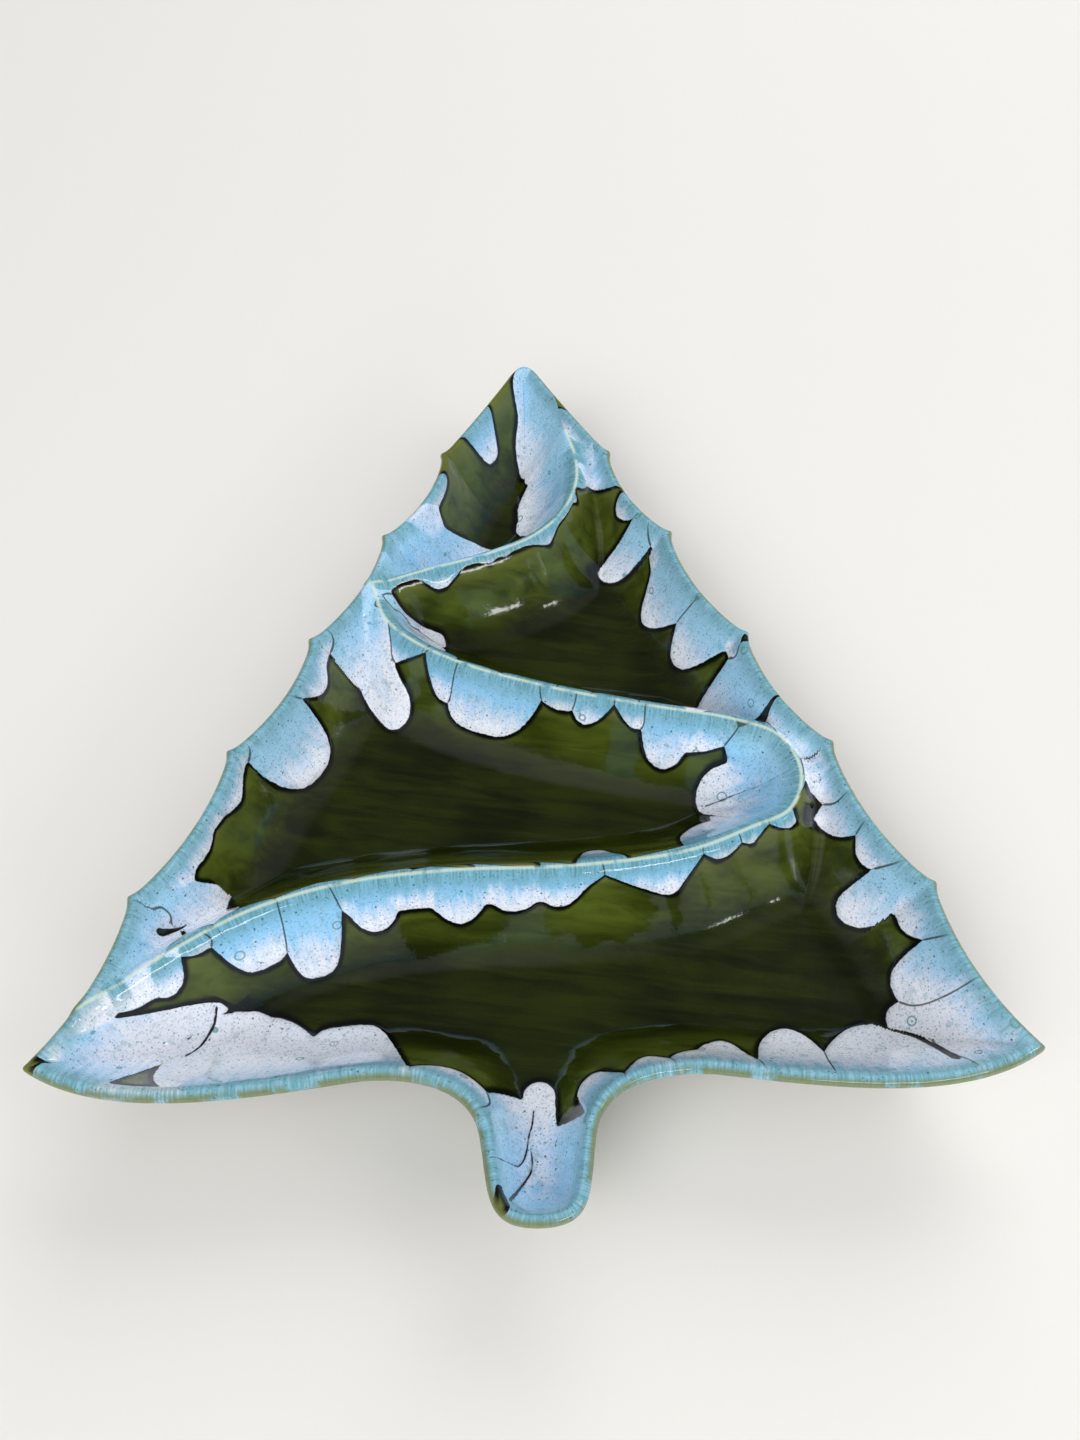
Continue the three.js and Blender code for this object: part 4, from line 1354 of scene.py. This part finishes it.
@dataclass(frozen=True)
class DripGlaze(Finish):
    """Deep green glaze that pools nearly black, under a pale blue-white overglaze with dark outlines and specks."""

    name: str = "drip_glaze_on_green"
    slot: str = "drip_glaze"
    pool: Colour = (18, 25, 3)
    floor: Colour = (42, 51, 10)
    slope: Colour = (82, 95, 32)
    thin: Colour = (114, 120, 60)
    outline: Colour = (6, 9, 6)
    hair: Colour = (34, 48, 30)
    teal: Colour = (90, 148, 155)
    sky: Colour = (148, 205, 244)
    milk: Colour = (166, 213, 243)
    pale: Colour = (210, 228, 252)
    cream: Colour = (243, 245, 255)
    speck: Colour = (58, 96, 112)
    crest_tone: Colour = (214, 228, 210)
    gloss: float = 0.08
    relief: float = 0.00022
    # Painted light: the overglaze on the front walls, between these heights along y and away from the trunk, is pushed
    # paler towards cream to stand in for light they lack.
    painted_light_from: tuple[float, float] = (-104, -124)
    painted_light_aside: tuple[float, float] = (22, 42)
    painted_front_light: float = 0.4
    # Each lot of specks: pitch, share of the places left bare, strength and radius.
    specks: tuple[tuple[float, float, float, float], ...] = ((1.5, 0.30, 0.75, 0.36), (3.4, 0.50, 0.9, 0.55))
    bubble_pitch: float = 11.0
    bubble_size: tuple[float, float] = (0.09, 0.08)

    def green(self, bench: Bench) -> Socket:
        """Colours the green: thick and dark on the floors, thinner up the slopes, brushed along the wells.

        Args:
            bench: where the nodes are laid.

        Returns:
            The colour.
        """
        rise = bench.value("rise")
        brush = bench.noise(bench.place((52, 7, 9), 8), 5, 0.6, 0.6)
        cloud = bench.noise(bench.place((34, 26, 20)), 2, 0.5)
        tone = bench.plus(bench.times(brush, 0.6), bench.times(cloud, 0.5))
        floor = bench.mix(bench.ease(tone, 0.40, 0.72), linear(self.pool), linear(self.floor))
        slope = bench.mix(bench.ease(tone, 0.36, 0.72), linear(self.floor), linear(self.slope))
        colour = bench.mix(bench.ease(rise, 1.5, 14.0), floor, slope)
        return bench.tint(colour, self.thin, bench.ease(rise, 20.0, 31.0), 0.6)

    def pale_coat(self, bench: Bench) -> Socket:
        """Colours the overglaze: teal streaks under the edge, sky blue down the dividers, milky under the rim, cream
        where it gathers, with dark specks and a few burst bubbles; the front walls are also made paler towards cream as
        painted light.

        Args:
            bench: where the nodes are laid.

        Returns:
            The colour.
        """
        chart = bench.node("ShaderNodeSeparateXYZ", {"Vector": bench.streak(1, 1)})
        down = chart.outputs["Y"]
        fine = bench.noise(bench.streak(0.8, 9), 4, 0.62)
        broad = bench.noise(bench.streak(2.6, 16), 3, 0.55)
        mottle = bench.noise(bench.place((4, 4, 4)), 5, 0.65)
        wander = bench.swing(broad, 0.7)
        plan = bench.node("ShaderNodeSeparateXYZ", {"Vector": bench.place((1, 1, 1))}).outputs
        # Painted light: the front walls are pushed towards pale and cream.
        aside = bench.ease(bench.math("ABSOLUTE", plan["X"]), *self.painted_light_aside)
        front = bench.times(bench.ease(plan["Y"], *self.painted_light_from), aside, self.painted_front_light)
        run = bench.plus(bench.value("flow"), front, bench.plus(wander, bench.swing(fine, 0.35)))
        body = bench.mix(bench.ease(bench.value("lip"), 34, 14), linear(self.sky), linear(self.milk))
        colour = bench.tint(body, self.pale, bench.ease(run, 0.40, 0.74))
        colour = bench.tint(colour, self.cream, bench.ease(run, 0.62, 0.98))
        ragged = bench.plus(bench.swing(fine, 17.0), bench.times(wander, 8.0))
        upper = bench.ease(bench.plus(down, ragged), 12.0, 0.5)
        combed = bench.math("MULTIPLY_ADD", bench.ease(fine, 0.38, 0.58), 0.5, 0.46)
        colour = bench.tint(colour, self.teal, bench.times(upper, combed))
        strands = bench.times(bench.ease(fine, 0.54, 0.70), bench.ease(bench.value("flow"), 0.9, 0.2))
        colour = bench.tint(colour, self.teal, strands, 0.38)
        colour = bench.tint(colour, self.teal, bench.ease(mottle, 0.52, 0.70), 0.36)
        cores = bench.times(bench.ease(fine, 0.57, 0.70), bench.ease(down, 11.0, 1.0))
        colour = bench.tint(colour, self.speck, cores, 0.65)
        grain = bench.noise(bench.place((0.8, 0.8, 0.8)), 2, 0.6)
        colour = bench.tint(colour, self.teal, bench.ease(grain, 0.50, 0.70), 0.46)
        for size, share, strength, radius in self.specks:
            dots, chosen = bench.cells(size)
            small = bench.ease(dots, radius / size, 0.45 * radius / size)
            few = bench.ease(chosen[0], share, share + 0.06)
            colour = bench.tint(colour, self.speck, bench.times(small, few), strength)
        middle, picked = bench.cells(self.bubble_pitch)
        least, more = self.bubble_size
        size = bench.math("MULTIPLY_ADD", picked[1], more, least)
        ring = bench.math("ABSOLUTE", bench.math("SUBTRACT", middle, size))
        burst = bench.times(bench.ease(ring, 0.04, 0.012), bench.ease(picked[0], 0.68, 0.72))
        return bench.tint(colour, self.teal, burst, 0.8)

    def lay(self, bench: Bench, shader: bpy.types.Node) -> None:
        """Joins the two glazes along the drips' edges, with an outline, hairlines, pale crests and olive lips.

        Args:
            bench: where the nodes are laid.
            shader: the surface shader they feed.
        """
        wobble = bench.swing(bench.noise(bench.place((2.4, 2.4, 2.4)), 2), 0.6)
        under, over = (bench.plus(bench.value(lap), wobble) for lap in ("under", "over"))
        inside = bench.math("MAXIMUM", under, over)
        apart = bench.math("ABSOLUTE", bench.value("apart"))
        both = bench.ease(bench.math("MINIMUM", under, over), -0.25, 0.1)
        hair = bench.times(bench.ease(apart, 0.46, 0.14), bench.ease(bench.value("lip"), 1.5, 6.0), both)
        green = bench.tint(self.green(bench), self.outline, bench.ease(inside, -2.7, -0.9))
        colour = bench.mix(bench.ease(inside, -0.14, 0.16), green, self.pale_coat(bench))
        colour = bench.tint(colour, self.hair, hair, 0.85)
        patchy = bench.noise(bench.place((9, 9, 9)), 3, 0.6)
        crest = bench.times(bench.ease(bench.value("crest"), 1.1, 0.15), bench.ease(patchy, 0.30, 0.48))
        colour = bench.tint(colour, self.crest_tone, crest, 0.7)
        edge = bench.times(bench.ease(bench.value("lip"), 2.6, 0.5), bench.ease(patchy, 0.32, 0.52))
        colour = bench.tint(colour, self.thin, edge, 0.85)
        peel = bench.noise(bench.place((3.2, 3.2, 3.2)), 2, 0.5)
        swell = bench.noise(bench.place((17, 11, 14)), 1, 0.5)
        height = bench.math("MULTIPLY_ADD", swell, 2.2, bench.times(peel, 0.35))
        dull = bench.math("MULTIPLY_ADD", patchy, 0.08, self.gloss - 0.03)
        bench.feed(shader, colour, dull, height, self.relief, 0.8)


@dataclass(frozen=True)
class BareClay(Finish):
    """Unglazed buff clay, fine-grained, rubbed smooth where it stands."""

    name: str = "bare_clay"
    slot: str = "bare_clay"
    light: Colour = (224, 208, 178)
    dark: Colour = (186, 160, 122)
    grit: Colour = (120, 92, 64)
    gloss: float = 0.8
    relief: float = 0.00015
    grit_pitch: float = 1.1

    def lay(self, bench: Bench, shader: bpy.types.Node) -> None:
        """Clouds the clay and strews fine grit over it.

        Args:
            bench: where the nodes are laid.
            shader: the surface shader they feed.
        """
        cloud = bench.noise(bench.place((9, 9, 5)), 4, 0.6)
        colour = bench.mix(bench.ease(cloud, 0.3, 0.7), linear(self.dark), linear(self.light))
        colour = bench.tint(colour, self.grit, bench.ease(bench.cells(self.grit_pitch)[0], 0.2, 0.1), 0.6)
        grain = bench.noise(bench.place((0.5, 0.5, 0.5)), 3, 0.7)
        dull = bench.math("MULTIPLY_ADD", grain, 0.2, self.gloss - 0.1)
        bench.feed(shader, colour, dull, grain, self.relief, 0.7)


@dataclass(frozen=True)
class StudioFloor(Finish):
    """A plain pale matt floor."""

    name: str = "studio_floor"
    slot: str = ""
    tone: Colour = (232, 230, 226)

    def lay(self, bench: Bench, shader: bpy.types.Node) -> None:
        """Sets the plain tone on the shader.

        Args:
            bench: not used.
            shader: the surface shader they feed.
        """
        shader.inputs["Base Color"].default_value = linear(self.tone)
        shader.inputs["Roughness"].default_value = 0.7
        shader.inputs["Specular IOR Level"].default_value = 0.2


@dataclass
class Studio:
    """The floor, the soft light and the camera."""

    eye: Spot = (-0.9, -237.6, 385.6)
    heading: Point = (0.0202, 0.9998)
    pitch: float = 57.0
    focal_share: float = 1082 / 1440
    sensor: float = 36.0
    near: float = 0.01
    floor_half: float = 6.0
    sky: float = 0.11
    glow_width: Point = (0.62, 1.0)
    glows: tuple[tuple[Spot, float], ...] = (((-0.45, -0.66, 0.6), 0.45), ((0.8, 0.0, 0.6), 0.25))
    lamps: tuple[tuple[str, Spot, Point, float, bool], ...] = (
        ("front_softbox", (-1.27, -2.12, 2.46), (3.4, 2.55), 84.0, False),
        ("back_softbox", (0.75, 2.1, 1.6), (2.4, 1.8), 44.0, False),
        ("side_softbox", (1.4, -0.3, 1.0), (1.2, 1.2), 7.0, False),
        ("front_strip", (0.60, -1.25, 0.50), (0.75, 0.09), 3.0, True),
        ("side_strip", (1.15, -0.66, 0.75), (0.22, 0.10), 0.9, True),
    )

    def floor(self) -> bpy.types.Object:
        """Lays the floor at the height of the feet.

        Returns:
            The floor.
        """
        mesh = bpy.data.meshes.new("studio_floor")
        corners = [(x * self.floor_half, y * self.floor_half, 0) for x, y in ((-1, -1), (1, -1), (1, 1), (-1, 1))]
        mesh.from_pydata(corners, [], [(0, 1, 2, 3)])
        floor = bpy.data.objects.new("studio_floor", mesh)
        bpy.context.scene.collection.objects.link(floor)
        mesh.materials.append(StudioFloor().material())
        return floor

    def light(self) -> None:
        """Hangs the softboxes and two small strips, turned to the tray, under a dim sky with two soft glows."""
        for name, at, size, power, mirrored in self.lamps:
            lamp = bpy.data.lights.new(name, "AREA")
            lamp.shape = "RECTANGLE"
            lamp.size, lamp.size_y = size
            lamp.energy = power
            holder = bpy.data.objects.new(name, lamp)
            holder.visible_glossy = mirrored
            back = np.array(at) / np.linalg.norm(at)
            across = np.cross((0, 0, 1), back)
            across /= np.linalg.norm(across)
            turn = np.eye(4)
            turn[:3, :3] = np.stack([across, np.cross(back, across), back], 1)
            turn[:3, 3] = at
            holder.matrix_world = Matrix(turn.tolist())
            bpy.context.scene.collection.objects.link(holder)
        world = bpy.data.worlds.new("studio_sky")
        world.use_nodes = True
        bench = Bench(world.node_tree)
        towards = bench.node("ShaderNodeTexCoord", {}).outputs["Generated"]
        strength: Socket | float = self.sky
        for middle, peak in self.glows:
            aim = tuple(float(v) for v in np.array(middle) / np.linalg.norm(middle))
            turned = bench.node("ShaderNodeVectorMath", {0: towards, 1: aim}, operation="DOT_PRODUCT").outputs["Value"]
            strength = bench.math("MULTIPLY_ADD", bench.ease(turned, *self.glow_width), peak, strength)
        ground = world.node_tree.nodes["Background"]
        ground.inputs["Color"].default_value = (1, 1, 1, 1)
        world.node_tree.links.new(strength, ground.inputs["Strength"])
        bpy.context.scene.world = world

    def camera(self) -> bpy.types.Object:
        """Stands the camera at the picture's viewpoint.

        Returns:
            The camera.
        """
        data = bpy.data.cameras.new("camera")
        data.sensor_fit = "VERTICAL"
        data.sensor_height = self.sensor
        data.lens = self.sensor * self.focal_share
        data.clip_start = self.near
        camera = bpy.data.objects.new("camera", data)
        down = np.radians(self.pitch)
        ahead = np.array([*(np.array(self.heading) * np.cos(down)), -np.sin(down)])
        right = np.array([self.heading[1], -self.heading[0], 0])
        turn = np.eye(4)
        turn[:3, :3] = np.stack([right, np.cross(right, ahead), -ahead], 1)
        turn[:3, 3] = np.array(self.eye) * MM
        camera.matrix_world = Matrix(turn.tolist())
        bpy.context.scene.collection.objects.link(camera)
        bpy.context.scene.camera = camera
        bpy.context.scene.view_settings.view_transform = "Standard"
        return camera


@dataclass
class Tray:
    """The casting as blocks between its crests, and its feet."""

    form: TrayForm = field(default_factory=TrayForm)
    glaze: Overglaze = field(default_factory=Overglaze)
    neck_seam: float = -150.5
    joint_round: float = 3.0
    saddle_angle: float = 28.0
    saddle_lead: float = 12.0
    upper_lead: float = 8.0
    bend_half: float = 26.0
    heel_half: float = 16.0
    feet: tuple[tuple[str, tuple[float, float, float, float]], ...] = (
        ("tip_foot", (-14, 103, -9, 119)), ("upper_foot", (0, 42, 44, 31)), ("middle_foot", (-70, -34, 28, -38)),
        ("lower_right_foot", (32, -107, 90, -104)), ("lower_left_foot", (-84, -115.5, -30, -111)))

    def along_rim(self, near: Point) -> float:
        """Finds the length along the right rim nearest to a plan point on the right half."""
        return float(self.form.right_rim.nearest(np.array([near], float))[1][0])

    def wells(self) -> list[Well]:
        """Cuts the casting into blocks along the crests.

        Returns:
            The blocks, from the tip to the trunk.
        """
        form = self.form
        right, left, zig, upper = form.right_rim, form.left_rim, form.zigzag, form.upper
        joint = (zig.points[-1] + upper.points[0]) / 2
        upper_line = upper.points[upper.along > self.joint_round]
        zig_end = zig.length - self.joint_round
        ahead = upper.points[-1] - upper.points[-10]
        past = upper.points[-1] + self.upper_lead * ahead / np.hypot(*ahead)
        at_joint = self.along_rim((-joint[0], joint[1]))
        at_upper = self.along_rim(tuple(past))
        at_first = self.along_rim(form.branches[0])
        at_fourth = self.along_rim(form.branches[3])
        at_corner = self.along_rim(form.branches[-1])
        at_start = self.along_rim((-zig.points[0, 0], zig.points[0, 1]))
        apex = np.array([form.bend_centre[0] + form.bend_radius, form.bend_centre[1]])
        at_apex = float(zig.nearest(apex[None])[1][0])
        low, high = at_apex - self.bend_half, at_apex + self.bend_half
        turn = np.radians(self.saddle_angle)
        saddle_top = form.bend_centre + form.bend_radius * np.array([np.cos(turn), np.sin(turn)])
        at_saddle = float(zig.nearest(saddle_top[None])[1][0])
        at_bend = self.along_rim(tuple(saddle_top)) - self.saddle_lead
        heel_run = right.along > self.along_rim(form.shoulder)
        at_neck = float(np.interp(-self.neck_seam, -right.points[heel_run, 1], right.along[heel_run]))
        at_heel = right.length - self.heel_half
        start = left.spot(at_start)
        bay = left.spot(at_joint)
        upper_crest = np.vstack([joint[None], upper_line, right.spot(at_upper)])
        saddle = np.vstack([zig.part(zig_end, at_saddle), right.spot(at_bend)])
        lower_crest = np.vstack([start, zig.part(0, at_saddle), right.spot(at_bend)])
        neck = np.vstack([left.spot(at_neck), right.spot(at_neck)])
        heel = np.vstack([left.part(at_heel, left.length), right.part(right.length, at_heel)])
        return [
            Well("tip_well", (np.vstack([bay, upper_crest]), left.part(at_first, 0),
                              left.part(at_joint, at_first), right.part(at_upper, 0)), (300, 240),
                 ("tip_floor", "right_tip_wall", "left_tip_wall")),
            Well("upper_well", (np.vstack([joint[None], saddle]), upper_crest,
                                np.repeat(joint[None], 2, axis=0), right.part(at_bend, at_upper)), (320, 280),
                 ("upper_floor", "upper_divider", "right_upper_wall")),
            Well("middle_well", (np.vstack([start, zig.part(0, low)]),
                                 np.vstack([left.part(at_fourth, at_joint), joint[None], zig.part(zig_end, high)]),
                                 left.part(at_start, at_fourth), zig.part(low, high)), (440, 200),
                 ("middle_floor", "middle_divider", "right_bend", "left_middle_wall")),
            Well("lower_well", (np.vstack([left.part(at_corner, at_neck), right.part(at_neck, at_corner)]), lower_crest,
                                left.part(at_corner, at_start), right.part(at_corner, at_bend)), (520, 172),
                 ("lower_floor", "lower_divider", "right_lower_wall", "left_lower_wall",
                  "front_right_wall", "front_left_wall")),
            Well("trunk", (heel, neck, left.part(at_heel, at_neck), right.part(at_heel, at_neck)), (160, 140),
                 ("trunk_channel",)),
        ]

    def build(self) -> list[bpy.types.Object]:
        """Builds and dresses every block and foot.

        Returns:
            The pieces.
        """
        glaze, clay = DripGlaze(), BareClay()
        pieces = []
        for well in self.wells():
            blank = well.build(self.form, self.glaze)
            piece = blank.mesh(well.name)
            well.dress(piece, glaze)
            log.info("%s: %d triangles", well.name, len(blank.faces))
            pieces.append(piece)
        for name, line in self.feet:
            foot = Foot(name + "_bar", line)
            piece = foot.build().mesh(foot.name)
            foot.dress(piece, clay)
            log.info("%s on the floor", foot.name)
            pieces.append(piece)
        return pieces


def main() -> None:
    """Builds the studio and the tray."""
    logging.basicConfig(level=logging.INFO, format="%(name)s %(message)s")
    studio = Studio()
    studio.camera()
    studio.floor()
    studio.light()
    Tray().build()


if __name__ == "__main__":
    main()
